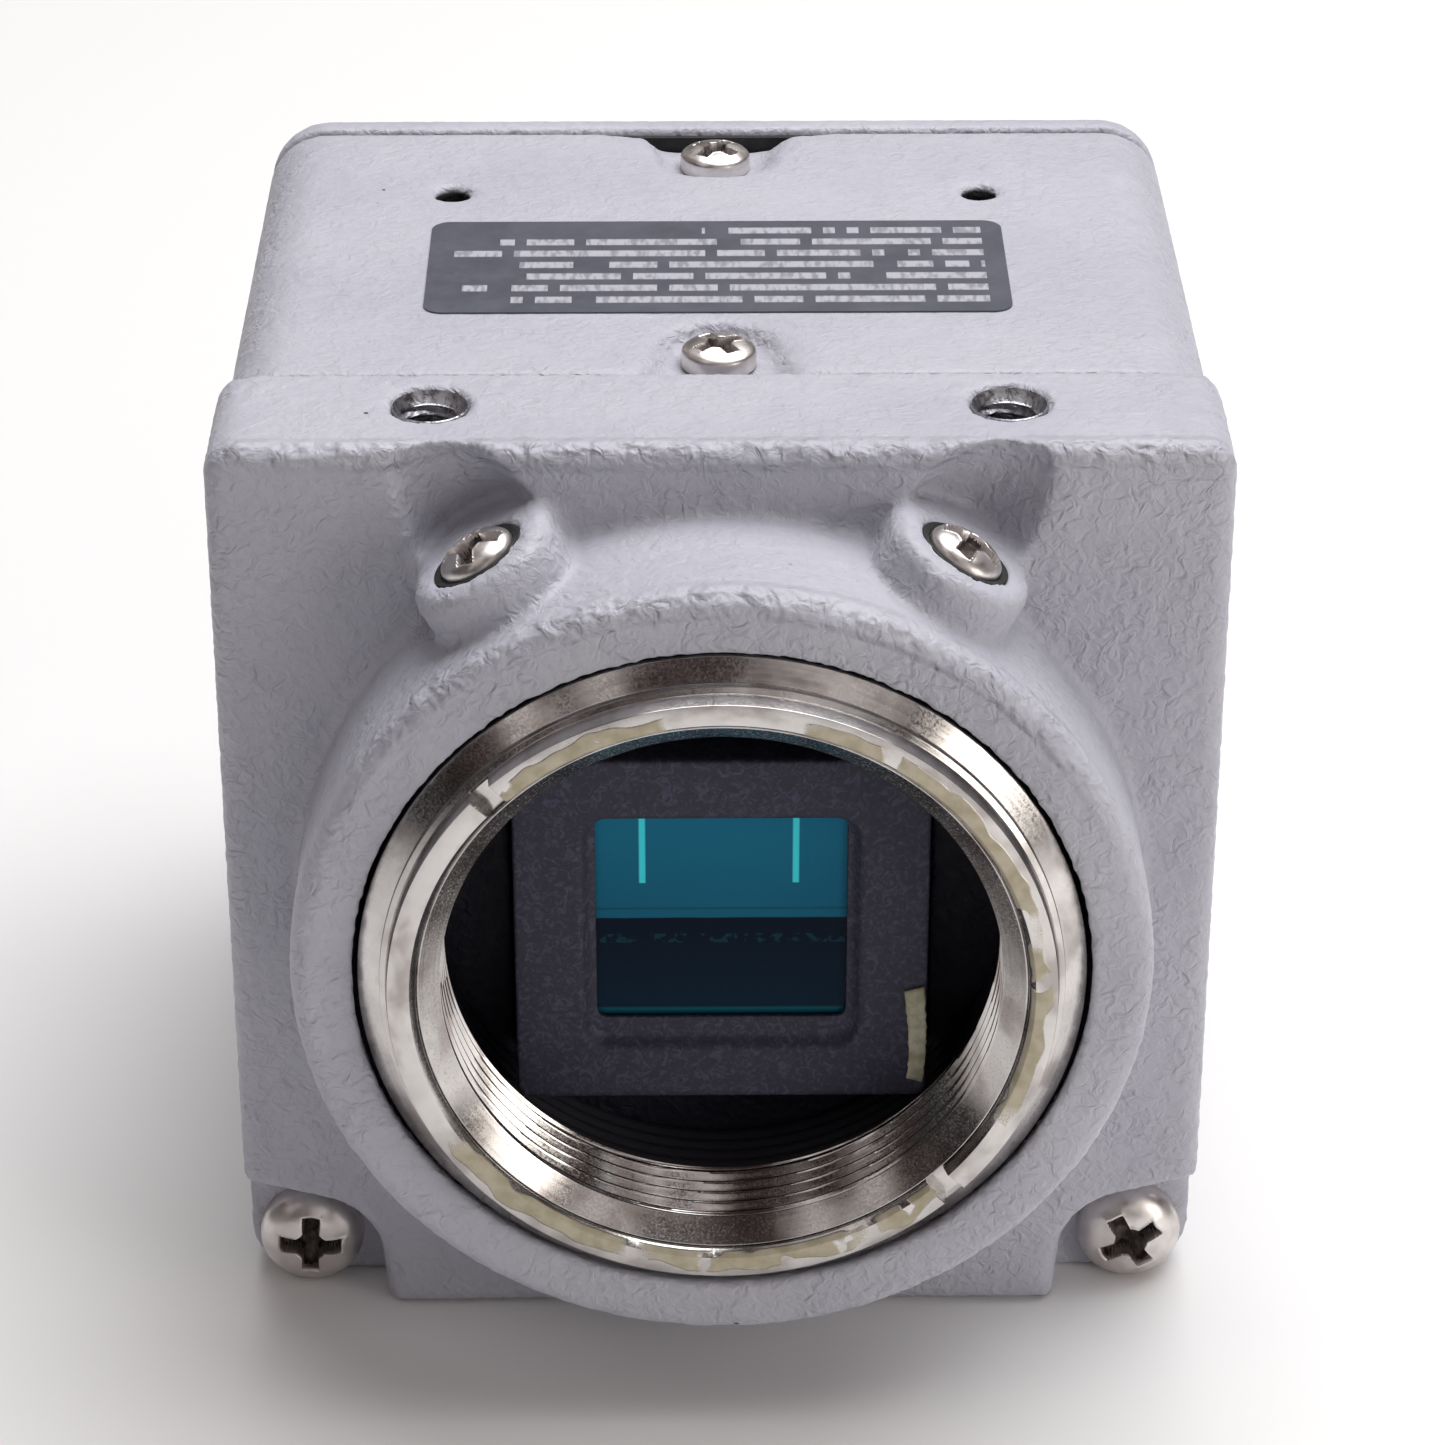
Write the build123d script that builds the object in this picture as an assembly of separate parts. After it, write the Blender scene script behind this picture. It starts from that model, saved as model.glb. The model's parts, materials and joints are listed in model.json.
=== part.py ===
from build123d import *
from math import cos, radians, sin
import os

# A compact industrial camera with a threaded lens mount. Millimetres, +Z up.
# The origin is the centre of the lens flange face. -Y looks out of the lens mount, +Y runs to
# the rear panel and +X is to the right when the camera is seen from the front.

# ---- general clearances ----
running_gap = 0.03        # radial, pieces that turn or slide in each other
screw_gap = 0.05          # radial, screw shank in its hole
seat_gap = 0.02           # axial, between a moving piece and the shoulder it runs on
fit_gap = 0.1             # fixed pieces that slip into each other
seam_gap = 0.1            # visible seams between the castings

# ---- lens mount, radii about the lens axis ----
thread_radius = 12.35     # minor radius of the 1 inch lens thread
barrel_wall = 1.0
ring_wall = 2.62
ring_shoulder = 0.27      # step at the back of the ring that the barrel seats on
bore_relief = 0.37        # visible gap round the front of the ring
boss_wall = 2.64
barrel_radius = thread_radius + barrel_wall
ring_bore = barrel_radius + running_gap
ring_radius = ring_bore + ring_wall
ring_hole = ring_radius + running_gap
boss_radius = ring_radius + bore_relief + boss_wall

# ---- lens mount, lengths along Y ----
flange_chamfer = 0.42
barrel_front = 0.5
barrel_to_holder = 0.15   # left free when the ring is screwed right in
lead_in = 0.9             # cone in front of the lens thread
ring_length = 9.5
flange_land = 1.25        # width of the flat flange face, from its inner to its outer edge
ring_step = 0.35
travel_inwards = 0.25     # of the ring, when the back focus is adjusted
notch_width = 1.1         # spanner notches across the flange
notch_depth = 0.8
notch_angle = 135.0

# ---- stations along Y ----
boss_front = 1.5
relief_depth = 1.6
block_front = 9.2
web_gap = 0.45            # room left behind the ring at the end of its travel
web_thickness = 2.4
block_back = 17.0
ledge_front = 12.3        # seat of the corner screws
image_plane = 17.526      # standard flange to sensor distance
cover_length = 28.85
gasket_thickness = 0.3
panel_thickness = 3.0

# ---- body ----
block_width = 44.8
block_top = 22.2
block_bottom = 22.9
block_corner = 1.5
ledge_corner = 2.5
block_edge = 0.9          # fillet round the front face
boss_edge = 1.0
cover_inset = 0.2         # the cover is this much narrower than the block, each side
cover_drop = 0.1
cover_wall = 1.5
cover_corner = 3.0
floor_thickness = 2.2
side_split = 15.5         # below the lens axis, where the cover meets the tray
rail_width = 5.8
panel_edge = 2.3          # fillet round the rear face

# ---- corner screws and their reliefs ----
corner_inset_x = 2.9      # from the side of the block
corner_inset_z = 2.5      # from the bottom of the block
relief_radius = 3.5
relief_rise = 6.9         # height of the relief at the side of the block
tab_inset = 6.75          # from the side of the block to the side of the bottom tab
corner_head_radius = 2.45
corner_head_height = 1.75
corner_shank_radius = 1.3
corner_screw_length = 14.0

# ---- lock screws of the mount ring ----
lock_angle = 30.0         # from straight up, one each side
lock_y = 7.0
pad_rise = 2.14           # top of the pad above the boss
pad_radius = 3.4
pad_edge = 0.7
lock_head_radius = 1.75
lock_head_height = 1.3
lock_counterbore_radius = 2.1
lock_counterbore_depth = 1.0
lock_shank_radius = 0.95
lock_tip_gap = 0.05
scallop_radius = 3.0
scallop_tilt = 20.0
scallop_y = 8.4
scallop_height = 9.0

# ---- cover screws, tapped holes and label ----
tapped_spacing = 25.4
m3_hole_radius = 1.25
m3_chamfer_radius = 1.95
m3_depth = 4.5
m3_from_block_front = 4.7
m2_hole_radius = 0.8
m2_chamfer = 0.25
m2_from_cover_back = 7.8
m2_boss_radius = 2.2
m2_boss_depth = 2.0
cover_screw_inset = 2.8   # from the front and back edge of the cover
cover_head_radius = 1.7
cover_head_height = 1.1
cover_shank_radius = 0.95
cover_screw_length = 3.6
dish_radius = 2.7
dish_mouth = 3.35         # half width where the dish meets the edge of the cover
top_dish_depth = 0.8
bottom_dish_depth = 1.3
lug_width = 8.0
lug_length = 5.6
lug_thickness = 2.5
label_width = 27.0
label_length = 10.6
label_thickness = 0.08
label_from_cover_front = 6.6
label_corner = 0.9

# ---- optics and sensor ----
holder_width = 18.5
holder_height = 17.5
holder_front = 5.7
holder_corner = 0.5
window_width = 11.2
window_height = 10.4
window_rise = 0.45        # centre of the window above the lens axis
lip_thickness = 0.8
pocket_margin = 1.0       # filter pocket outside the window, each side
filter_thickness = 1.0
holder_flange_overhang = 3.75
holder_flange = 1.6
holder_opening_gap = 0.3
holder_screw_radius = 0.75
holder_head_radius = 1.3
holder_head_height = 0.8
seal_wall = 1.4
glass_thickness = 0.75
glass_to_image = 1.576    # from the back of the cover glass to the image plane
package_width = 17.0
package_height = 15.2
package_depth = 2.85
package_cavity_width = 10.5
package_cavity_height = 8.5
die_width = 7.5
die_height = 6.2
die_thickness = 0.47
lead_count = 11
lead_pitch = 1.27
lead_width = 0.45
lead_thickness = 0.25
lead_reach = 1.7
pocket_side_wall = 7.6    # wall of the block left outside the rear pocket
pocket_end_wall = 6.9

# ---- circuit boards ----
board_thickness = 1.2
board_side_gap = 1.4
board_top_drop = 3.0      # below the underside of the cover
board_rail_gap = 0.65
sensor_board_gap = 3.0    # between the block and the sensor board
signal_board_gap = 5.8
power_board_gap = 5.8
stack_inset = 2.1         # stack screws from the edge of the board
stack_screw_radius = 0.95
stack_head_radius = 1.7
stack_head_height = 1.0
stack_screw_bite = 4.0
spacer_radius = 1.75
link_width = 18.0
link_height = 3.6
chip_gap = 0.02

# ---- rear connectors ----
socket_inset = 5.8        # contact face of the round connector below its mouth
round_connector_x = -10.2
round_connector_z = -9.0
round_shell_radius = 6.0
round_shell_bore = 4.5
round_insert_radius = 4.15
round_flange_overhang = 1.3
round_flange = 1.2
round_shell_reach = 5.0   # past the rear panel
round_nut_wall = 1.4      # at the corners of the nut
round_nut = 2.0
connector_depth = 6.0     # from the inside of the rear panel to the connector board
round_contacts = 12
contact_radius = 0.3
digital_z = 7.6
digital_opening_width = 22.0
digital_opening_height = 5.6
digital_shell_wall = 1.3
digital_flange_width = 39.0
digital_flange_height = 10.2
digital_flange = 1.0
digital_reach = 2.2
tongue_width = 19.0
tongue_thickness = 1.7
tongue_inset = 1.0
digital_contacts = 13     # on each side of the tongue
digital_pitch = 1.27
post_spacing = 33.3
post_across_flats = 4.8
post_length = 4.4
post_hole_radius = 1.05
post_shank_radius = 1.2
led_x = 9.0
led_z = -9.0
led_radius = 1.5
led_reach = 0.5
rear_screw_inset_x = 4.2
rear_screw_inset_z = 4.2
rear_head_radius = 1.7
rear_head_height = 1.2
rear_shank_radius = 0.95
rear_screw_length = 9.0

# ---- places that follow from the sizes above ----
block_half = block_width / 2
cover_half = block_half - cover_inset
cover_top = block_top - cover_drop
cover_ceiling = cover_top - cover_wall
cover_front = block_back + seam_gap
cover_back = cover_front + cover_length
panel_front = cover_back + gasket_thickness
panel_back = panel_front + panel_thickness
floor_top = -block_bottom + floor_thickness
pad_top = boss_radius + pad_rise
barrel_back = holder_front - travel_inwards - barrel_to_holder
web_front = ring_length + travel_inwards + web_gap
web_back = web_front + web_thickness
corner_x = block_half - corner_inset_x
corner_z = -block_bottom + corner_inset_z
m3_y = block_front + m3_from_block_front
m2_y = cover_back - m2_from_cover_back
front_screw_y = cover_front + cover_screw_inset
rear_screw_y = cover_back - cover_screw_inset
filter_front = holder_front + lip_thickness
filter_back = filter_front + filter_thickness
filter_width = window_width + 2 * pocket_margin - 2 * fit_gap
filter_height = window_height + 2 * pocket_margin - 2 * fit_gap
holder_back = web_back + holder_flange
holder_screw_x = holder_width / 2 + holder_flange_overhang / 2
package_front = image_plane - glass_to_image
glass_front = package_front - glass_thickness
sensor_board_front = block_back + sensor_board_gap
sensor_board_back = sensor_board_front + board_thickness
signal_board_front = sensor_board_back + signal_board_gap
signal_board_back = signal_board_front + board_thickness
power_board_front = signal_board_back + power_board_gap
power_board_back = power_board_front + board_thickness
connector_board_back = panel_front - connector_depth
connector_board_front = connector_board_back - board_thickness
board_half = cover_half - cover_wall - board_side_gap
board_top = cover_ceiling - board_top_drop
board_bottom = -side_split + board_rail_gap
stack_x = board_half - stack_inset
stack_places = [(side * stack_x, z) for side in (-1, 1)
                for z in (board_top - stack_inset, board_bottom + stack_inset)]
rear_screw_x = cover_half - rear_screw_inset_x
rear_screw_z = -block_bottom + rear_screw_inset_z


# ---- building blocks ----
def block(x0, x1, y0, y1, z0, z1):
    """A box between two corners."""
    centre = Pos((x0 + x1) / 2, (y0 + y1) / 2, (z0 + z1) / 2)
    return centre * Box(x1 - x0, y1 - y0, z1 - z0)


def front_plane(y):
    """The plane across the lens axis at y, drawn with x to the right and z up."""
    return Plane(origin=(0, y, 0), x_dir=(1, 0, 0), z_dir=(0, -1, 0))


def slab(sketch, y0, y1):
    """A front-view sketch given depth from y0 back to y1."""
    return extrude(front_plane(y0) * sketch, amount=y0 - y1)


def rod(radius, y0, y1, x=0.0, z=0.0):
    """A round bar along Y."""
    return slab(Pos(x, z) * Circle(radius), y0, y1)


def turned(points):
    """A piece turned about the lens axis from (radius, y) points."""
    return revolve(make_face(Polyline(*points, close=True)), Axis.Y)


def upright(radius, x, y, z0, z1):
    """A round bar along Z."""
    return Pos(x, y, (z0 + z1) / 2) * Cylinder(radius, z1 - z0)


def panel_sketch(half_width, bottom, top, corner):
    """A rectangle in the front view with rounded corners."""
    shape = Rectangle(2 * half_width, top - bottom)
    return Pos(0, (top + bottom) / 2) * fillet(shape.vertices(), corner)


def pan_screw(head_radius, head_height, shank_radius, shank_length):
    """A cross-recessed pan head screw, its seat at z = 0 and its shank going down."""
    head = Pos(0, 0, head_height / 2) * Cylinder(head_radius, head_height)
    head = fillet(head.edges().sort_by(Axis.Z)[-1], 0.7 * head_height)
    arm = Box(1.15 * head_radius, 0.3 * head_radius, 1.2 * head_height)
    recess = Pos(0, 0, 1.05 * head_height) * (arm + Rot(0, 0, 90) * arm)
    shank = Pos(0, 0, -shank_length / 2) * Cylinder(shank_radius, shank_length)
    return head - recess + shank


def facing(place, direction):
    """The location at a place whose own Z axis points in a direction."""
    return Plane(origin=place, z_dir=direction).location


def lock_place(side):
    """Location at a pad top, with local Z outwards along the lock screw and local Y the row's Y."""
    out = Vector(side * sin(radians(lock_angle)), 0, cos(radians(lock_angle)))
    across = Vector(0, 1, 0).cross(out)
    return Plane(origin=out * pad_top + Vector(0, lock_y, 0), x_dir=across, z_dir=out).location


def group(pieces):
    """Several separate solids in one node."""
    return Compound([piece.solid() for piece in pieces])


# ---- lens mount ----
def lens_barrel():
    cone_radius = barrel_radius - 0.05
    return turned([
        (thread_radius, barrel_front + lead_in),
        (cone_radius, barrel_front),
        (barrel_radius, barrel_front),
        (barrel_radius, barrel_back),
        (thread_radius, barrel_back),
    ])


def adjusting_ring():
    shoulder = barrel_back + seat_gap
    outer_land = ring_bore + flange_land
    neck = ring_radius - 1.0
    ring = turned([
        (ring_bore, flange_chamfer),
        (ring_bore + 0.27, 0),
        (outer_land, 0),
        (outer_land + 0.1, 0.9),
        (neck, 1.0),
        (neck, 1.0 + ring_step + 0.1),
        (ring_radius, 2.1 + ring_step),
        (ring_radius, ring_length),
        (ring_bore - ring_shoulder, ring_length),
        (ring_bore - ring_shoulder, shoulder),
        (ring_bore, shoulder),
    ])
    notch = block(-boss_radius, boss_radius, -1, notch_depth, -notch_width / 2, notch_width / 2)
    return ring - Rot(0, -notch_angle, 0) * notch


def lock_screw(side):
    seat = -lock_counterbore_depth + lock_tip_gap
    length = pad_top + seat - ring_radius - lock_tip_gap
    screw = pan_screw(lock_head_radius, lock_head_height, lock_shank_radius, length)
    return lock_place(side) * (Pos(0, 0, seat) * screw)


# ---- front casting ----
def corner_relief(side):
    """Front view of the pocket that lets the corner screw head in."""
    outside = block_half + 2
    below = -block_bottom - 2
    side_z = -block_bottom + relief_rise
    opening = make_face(Polyline(
        (corner_x - relief_radius, corner_z),
        (block_half - tab_inset, below),
        (outside, below),
        (outside, side_z + 0.4),
        (block_half, side_z),
        (corner_x - 0.5, corner_z + relief_radius),
        close=True,
    ))
    shape = opening + Pos(corner_x, corner_z) * Circle(relief_radius)
    return shape if side > 0 else mirror(shape, Plane.YZ)


def lock_pad(side):
    """Flat-topped pad on the boss that carries a lock screw."""
    rear = block_front + 1.0 - lock_y
    depth = pad_top - ring_radius
    outline = Circle(pad_radius) + Pos(0, rear / 2) * Rectangle(2 * pad_radius, rear)
    pad = extrude(outline, amount=-depth)
    rim = pad.edges().group_by(Axis.Z)[-1].filter_by(lambda edge: edge.center().Y < rear - 0.1)
    return lock_place(side) * fillet(rim, pad_edge)


def scallop(side):
    """Groove in the block's face that clears a screwdriver on the lock screw."""
    tool = Pos(0, 0, scallop_height / 2) * Cylinder(scallop_radius, 2 * scallop_height)
    tool = Pos(0, scallop_y - lock_y, 0) * (Rot(scallop_tilt, 0, 0) * tool)
    above = Pos(0, 0, scallop_height) * Box(20, 20, 2 * scallop_height)
    return lock_place(side) * (tool & above)


def front_housing():
    outline = panel_sketch(block_half, -block_bottom, block_top, ledge_corner)
    top_band = Pos(0, block_top / 2) * fillet(
        Rectangle(block_width, block_top).vertices().group_by(Axis.Y)[-1], block_corner)
    outline = outline + top_band
    relieved = outline - corner_relief(1) - corner_relief(-1)
    face = slab(relieved, block_front, ledge_front)
    face = fillet(face.edges().group_by(Axis.Y)[0], block_edge)
    casting = face + slab(outline, ledge_front, block_back)
    boss = rod(boss_radius, boss_front, block_front + 1)
    casting += fillet(boss.edges().sort_by(Axis.Y)[0], boss_edge)
    for side in (-1, 1):
        casting -= scallop(side)
        casting += lock_pad(side)
    for z0, z1 in ((cover_ceiling - fit_gap - lug_thickness, cover_ceiling - fit_gap),
                   (floor_top + fit_gap, floor_top + fit_gap + lug_thickness)):
        casting += block(-lug_width / 2, lug_width / 2, block_back - 1, block_back + lug_length, z0, z1)

    casting -= rod(ring_radius + bore_relief, boss_front - 1, boss_front + relief_depth)
    casting -= rod(ring_hole, boss_front, web_front)
    opening_half = holder_width / 2 + holder_opening_gap
    opening_rise = holder_height / 2 + holder_opening_gap
    casting -= slab(panel_sketch(opening_half, -opening_rise, opening_rise, holder_corner),
                    web_front - 1, web_back + 1)
    casting -= slab(panel_sketch(block_half - pocket_side_wall, pocket_end_wall - block_bottom,
                                 block_top - pocket_end_wall, 2), web_back, block_back + 1)

    tip_to_pad = pad_top - thread_radius
    counterbore = Cylinder(lock_counterbore_radius, 2 * lock_counterbore_depth)
    lock_hole = Pos(0, 0, -tip_to_pad / 2) * Cylinder(lock_shank_radius + screw_gap, tip_to_pad)
    for side in (-1, 1):
        casting -= lock_place(side) * (counterbore + lock_hole)
        casting -= rod(corner_shank_radius + screw_gap, ledge_front - 1, block_back + 1,
                       side * corner_x, corner_z)
        casting -= rod(holder_screw_radius + screw_gap, web_front + 0.4, web_back + 1,
                       side * holder_screw_x)
        for upside, face_z in ((1, block_top), (-1, -block_bottom)):
            x = side * tapped_spacing / 2
            casting -= tapped_hole(x, m3_y, face_z, upside, m3_hole_radius, m3_depth,
                                   m3_chamfer_radius - m3_hole_radius)
    for x, z in stack_places:
        casting -= rod(stack_screw_radius + screw_gap, block_back - stack_screw_bite - 0.5,
                       block_back + 1, x, z)
    for face_z, inward in ((cover_ceiling, -1), (floor_top, 1)):
        casting -= upright(cover_shank_radius + screw_gap, 0, front_screw_y,
                           face_z - 4, face_z + 4)
    return casting


def tapped_hole(x, y, face_z, upside, radius, depth, chamfer_size):
    """Tool for a blind hole down from a face, with a 45 degree countersink at its mouth."""
    hole = Pos(0, 0, -depth / 2) * Cylinder(radius, depth)
    sink = Pos(0, 0, -chamfer_size / 2) * Cone(radius, radius + chamfer_size, chamfer_size)
    mouth = Pos(0, 0, 0.5) * Cylinder(radius + chamfer_size, 1)
    tool = hole + sink + mouth
    if upside < 0:
        tool = Rot(180, 0, 0) * tool
    return Pos(x, y, face_z) * tool


# ---- covers ----
def dish(y_edge, y_screw, face_z, depth):
    """Recess round a cover screw, open to the edge of the cover it is near."""
    past = y_edge + (0.5 if y_edge > y_screw else -0.5)
    fan = make_face(Polyline(
        (-dish_radius, y_screw),
        (dish_radius, y_screw),
        (dish_mouth, past),
        (-dish_mouth, past),
        close=True,
    ))
    shape = fan + Pos(0, y_screw) * Circle(dish_radius)
    return Pos(0, 0, face_z - depth) * extrude(shape, amount=2 * depth)


def upper_cover():
    outline = panel_sketch(cover_half, -side_split, cover_top, cover_corner)
    square_foot = Pos(0, -side_split / 2 + cover_corner / 2) * Rectangle(
        2 * cover_half, side_split + cover_corner)
    inside = panel_sketch(cover_half - cover_wall, -side_split - cover_corner, cover_ceiling,
                          cover_corner - cover_wall)
    cover = slab(outline + square_foot - inside, cover_front, cover_back)
    for side in (-1, 1):
        x = side * tapped_spacing / 2
        cover += upright(m2_boss_radius, x, m2_y, cover_ceiling - m2_boss_depth,
                         cover_ceiling + cover_wall / 2)
    for side in (-1, 1):
        x = side * tapped_spacing / 2
        cover -= tapped_hole(x, m2_y, cover_top, 1, m2_hole_radius, cover_wall + m2_boss_depth + 1,
                             m2_chamfer)
    for y_edge, y_screw in ((cover_front, front_screw_y), (cover_back, rear_screw_y)):
        cover -= dish(y_edge, y_screw, cover_top, top_dish_depth)
        cover -= upright(cover_shank_radius + screw_gap, 0, y_screw, cover_ceiling - 1, cover_top)
    return cover


def base_tray():
    """Floor of the camera, with a rail along each bottom edge."""
    top = -side_split - seam_gap
    shell = panel_sketch(cover_half, -block_bottom, top, cover_corner)
    square_top = Pos(0, top - cover_corner / 2) * Rectangle(2 * cover_half, cover_corner)
    trough = make_face(Polyline(
        (rail_width - cover_half, floor_top),
        (cover_half - rail_width, floor_top),
        (cover_half - rail_width, top + 1),
        (rail_width - cover_half, top + 1),
        close=True,
    ))
    tray = slab(shell + square_top - trough, cover_front, cover_back)
    for side in (-1, 1):
        x = side * tapped_spacing / 2
        tray += upright(m2_boss_radius, x, m2_y, floor_top - floor_thickness / 2,
                        floor_top + m2_boss_depth)
    for side in (-1, 1):
        x = side * tapped_spacing / 2
        tray -= tapped_hole(x, m2_y, -block_bottom, -1, m2_hole_radius,
                            floor_thickness + m2_boss_depth + 1, m2_chamfer)
        tray -= rod(corner_shank_radius + screw_gap, cover_front - 1,
                    ledge_front + corner_screw_length + 0.5, side * corner_x, corner_z)
        tray -= rod(rear_shank_radius + screw_gap, panel_back - rear_screw_length - 0.5,
                    cover_back + 1, side * rear_screw_x, rear_screw_z)
    for y_edge, y_screw in ((cover_front, front_screw_y), (cover_back, rear_screw_y)):
        tray -= dish(y_edge, y_screw, -block_bottom, bottom_dish_depth)
        tray -= upright(cover_shank_radius + screw_gap, 0, y_screw, -block_bottom, floor_top + 1)
    return tray


def cover_screws(upside):
    """The pair of pan head screws on the centre line of the cover or of the tray."""
    screw = pan_screw(cover_head_radius, cover_head_height, cover_shank_radius, cover_screw_length)
    if upside > 0:
        seat = cover_top - top_dish_depth
    else:
        seat = -block_bottom + bottom_dish_depth
        screw = Rot(180, 0, 0) * screw
    return group([Pos(0, y, seat) * screw for y in (front_screw_y, rear_screw_y)])


def corner_screws():
    screw = pan_screw(corner_head_radius, corner_head_height, corner_shank_radius,
                      corner_screw_length)
    return group([facing((side * corner_x, ledge_front, corner_z), (0, -1, 0)) * screw
                  for side in (-1, 1)])


def label_plate():
    y0 = cover_front + label_from_cover_front
    sketch = fillet(Rectangle(label_width, label_length).vertices(), label_corner)
    return Pos(0, y0 + label_length / 2, cover_top) * extrude(sketch, amount=label_thickness)


# ---- rear panel ----
def connector_hole(y0, y1):
    return rod(round_shell_radius + fit_gap, y0, y1, round_connector_x, round_connector_z)


def digital_outline(margin):
    width = digital_opening_width + 2 * margin
    height = digital_opening_height + 2 * margin
    return Pos(0, digital_z) * fillet(Rectangle(width, height).vertices(), 0.8 + margin)


def rear_outline(inset):
    return panel_sketch(cover_half - inset, inset - block_bottom, cover_top - inset,
                        cover_corner - inset)


def rear_gasket():
    frame = rear_outline(0.35) - rear_outline(cover_wall)
    gasket = slab(frame, cover_back, panel_front)
    return gasket


def rear_panel():
    panel = slab(rear_outline(0), panel_front, panel_back)
    panel = fillet(panel.edges().group_by(Axis.Y)[-1], panel_edge)
    for z0, z1 in ((cover_ceiling - fit_gap - lug_thickness, cover_ceiling - fit_gap),
                   (floor_top + fit_gap, floor_top + fit_gap + lug_thickness)):
        panel += block(-lug_width / 2, lug_width / 2, panel_front - lug_length, panel_front + 1, z0, z1)
    for face_z in (cover_ceiling, floor_top):
        panel -= upright(cover_shank_radius + screw_gap, 0, rear_screw_y, face_z - 4, face_z + 4)
    panel -= connector_hole(panel_front - 1, panel_back + 1)
    panel -= slab(digital_outline(digital_shell_wall + fit_gap), panel_front - 1, panel_back + 1)
    panel -= rod(led_radius + screw_gap, panel_front - 1, panel_back + 1, led_x, led_z)
    for side in (-1, 1):
        panel -= rod(post_shank_radius + screw_gap, panel_front - 1, panel_back + 1,
                     side * post_spacing / 2, digital_z)
        panel -= rod(rear_shank_radius + screw_gap, panel_front - 1, panel_back + 1,
                     side * rear_screw_x, rear_screw_z)
    return panel


def rear_panel_screws():
    screw = pan_screw(rear_head_radius, rear_head_height, rear_shank_radius, rear_screw_length)
    return group([facing((side * rear_screw_x, panel_back, rear_screw_z), (0, 1, 0)) * screw
                  for side in (-1, 1)])


def round_connector_shell():
    mouth = panel_back + round_shell_reach
    shell = rod(round_shell_radius, panel_front - round_nut - 0.6, mouth, round_connector_x,
                round_connector_z)
    shell += rod(round_shell_radius + round_flange_overhang, panel_back,
                 panel_back + round_flange, round_connector_x, round_connector_z)
    shell -= rod(round_insert_radius + fit_gap / 2, panel_front - round_nut - 1, mouth,
                 round_connector_x, round_connector_z)
    return shell - rod(round_shell_bore, mouth - socket_inset, mouth + 1,
                       round_connector_x, round_connector_z)


def round_connector_nut():
    sketch = Pos(round_connector_x, round_connector_z) * RegularPolygon(
        round_shell_radius + round_nut_wall, 6)
    nut = slab(sketch, panel_front - round_nut, panel_front)
    return nut - connector_hole(panel_front - round_nut - 1, panel_front + 1)


def round_connector_insert():
    return rod(round_insert_radius, panel_front - round_nut - 0.6,
               panel_back + round_shell_reach - socket_inset, round_connector_x, round_connector_z)


def round_connector_contacts():
    """Contact tails between the insert and the connector board, on two circles."""
    inner = round_contacts // 3
    tails = []
    for count, radius in ((inner, 1.3), (round_contacts - inner, 3.1)):
        for place in PolarLocations(radius, count):
            x = round_connector_x + place.position.X
            z = round_connector_z + place.position.Y
            tails.append(rod(contact_radius, connector_board_back,
                             panel_front - round_nut - 0.6, x, z))
    return group(tails)


def digital_connector_shell():
    flange = Pos(0, digital_z) * fillet(
        Rectangle(digital_flange_width, digital_flange_height).vertices(), 2)
    shell = slab(flange, panel_back, panel_back + digital_flange)
    shell += slab(digital_outline(digital_shell_wall), panel_front - 1.5,
                  panel_back + digital_reach)
    shell -= slab(digital_outline(0), panel_front - 3, panel_back + digital_reach + 1)
    for side in (-1, 1):
        shell -= rod(post_shank_radius + screw_gap, panel_back - 1, panel_back + 2,
                     side * post_spacing / 2, digital_z)
    return shell


def digital_connector_insert():
    """Moulded block with the flat tongue that carries the contacts."""
    body = slab(digital_outline(-fit_gap / 2), connector_board_back, panel_back - 3)
    tongue = Pos(0, digital_z) * fillet(
        Rectangle(tongue_width, tongue_thickness).vertices(), 0.4)
    return body + slab(tongue, panel_back - 3.5, panel_back + digital_reach - tongue_inset)


def digital_connector_contacts():
    """Flat springs lying on both faces of the tongue."""
    springs = []
    for index in range(digital_contacts):
        x = (index - (digital_contacts - 1) / 2) * digital_pitch
        for side in (-1, 1):
            z = digital_z + side * (tongue_thickness / 2 + 0.09)
            springs.append(block(x - 0.25, x + 0.25, panel_back - 3,
                                 panel_back + digital_reach - tongue_inset - 0.4,
                                 z - 0.08, z + 0.08))
    return group(springs)


def jack_posts():
    start = panel_back + digital_flange
    across = post_across_flats / 2
    posts = []
    for side in (-1, 1):
        x = side * post_spacing / 2
        sketch = Pos(x, digital_z) * RegularPolygon(across, 6, major_radius=False)
        post = slab(sketch, start, start + post_length)
        post += rod(post_shank_radius, panel_front - 1, start + 0.5, x, digital_z)
        post -= rod(post_hole_radius, start + 0.4, start + post_length + 1, x, digital_z)
        posts.append(post)
    return group(posts)


def status_led():
    pipe = rod(led_radius, connector_board_back, panel_back + led_reach, led_x, led_z)
    return fillet(pipe.edges().sort_by(Axis.Y)[-1], 0.45)


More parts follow.
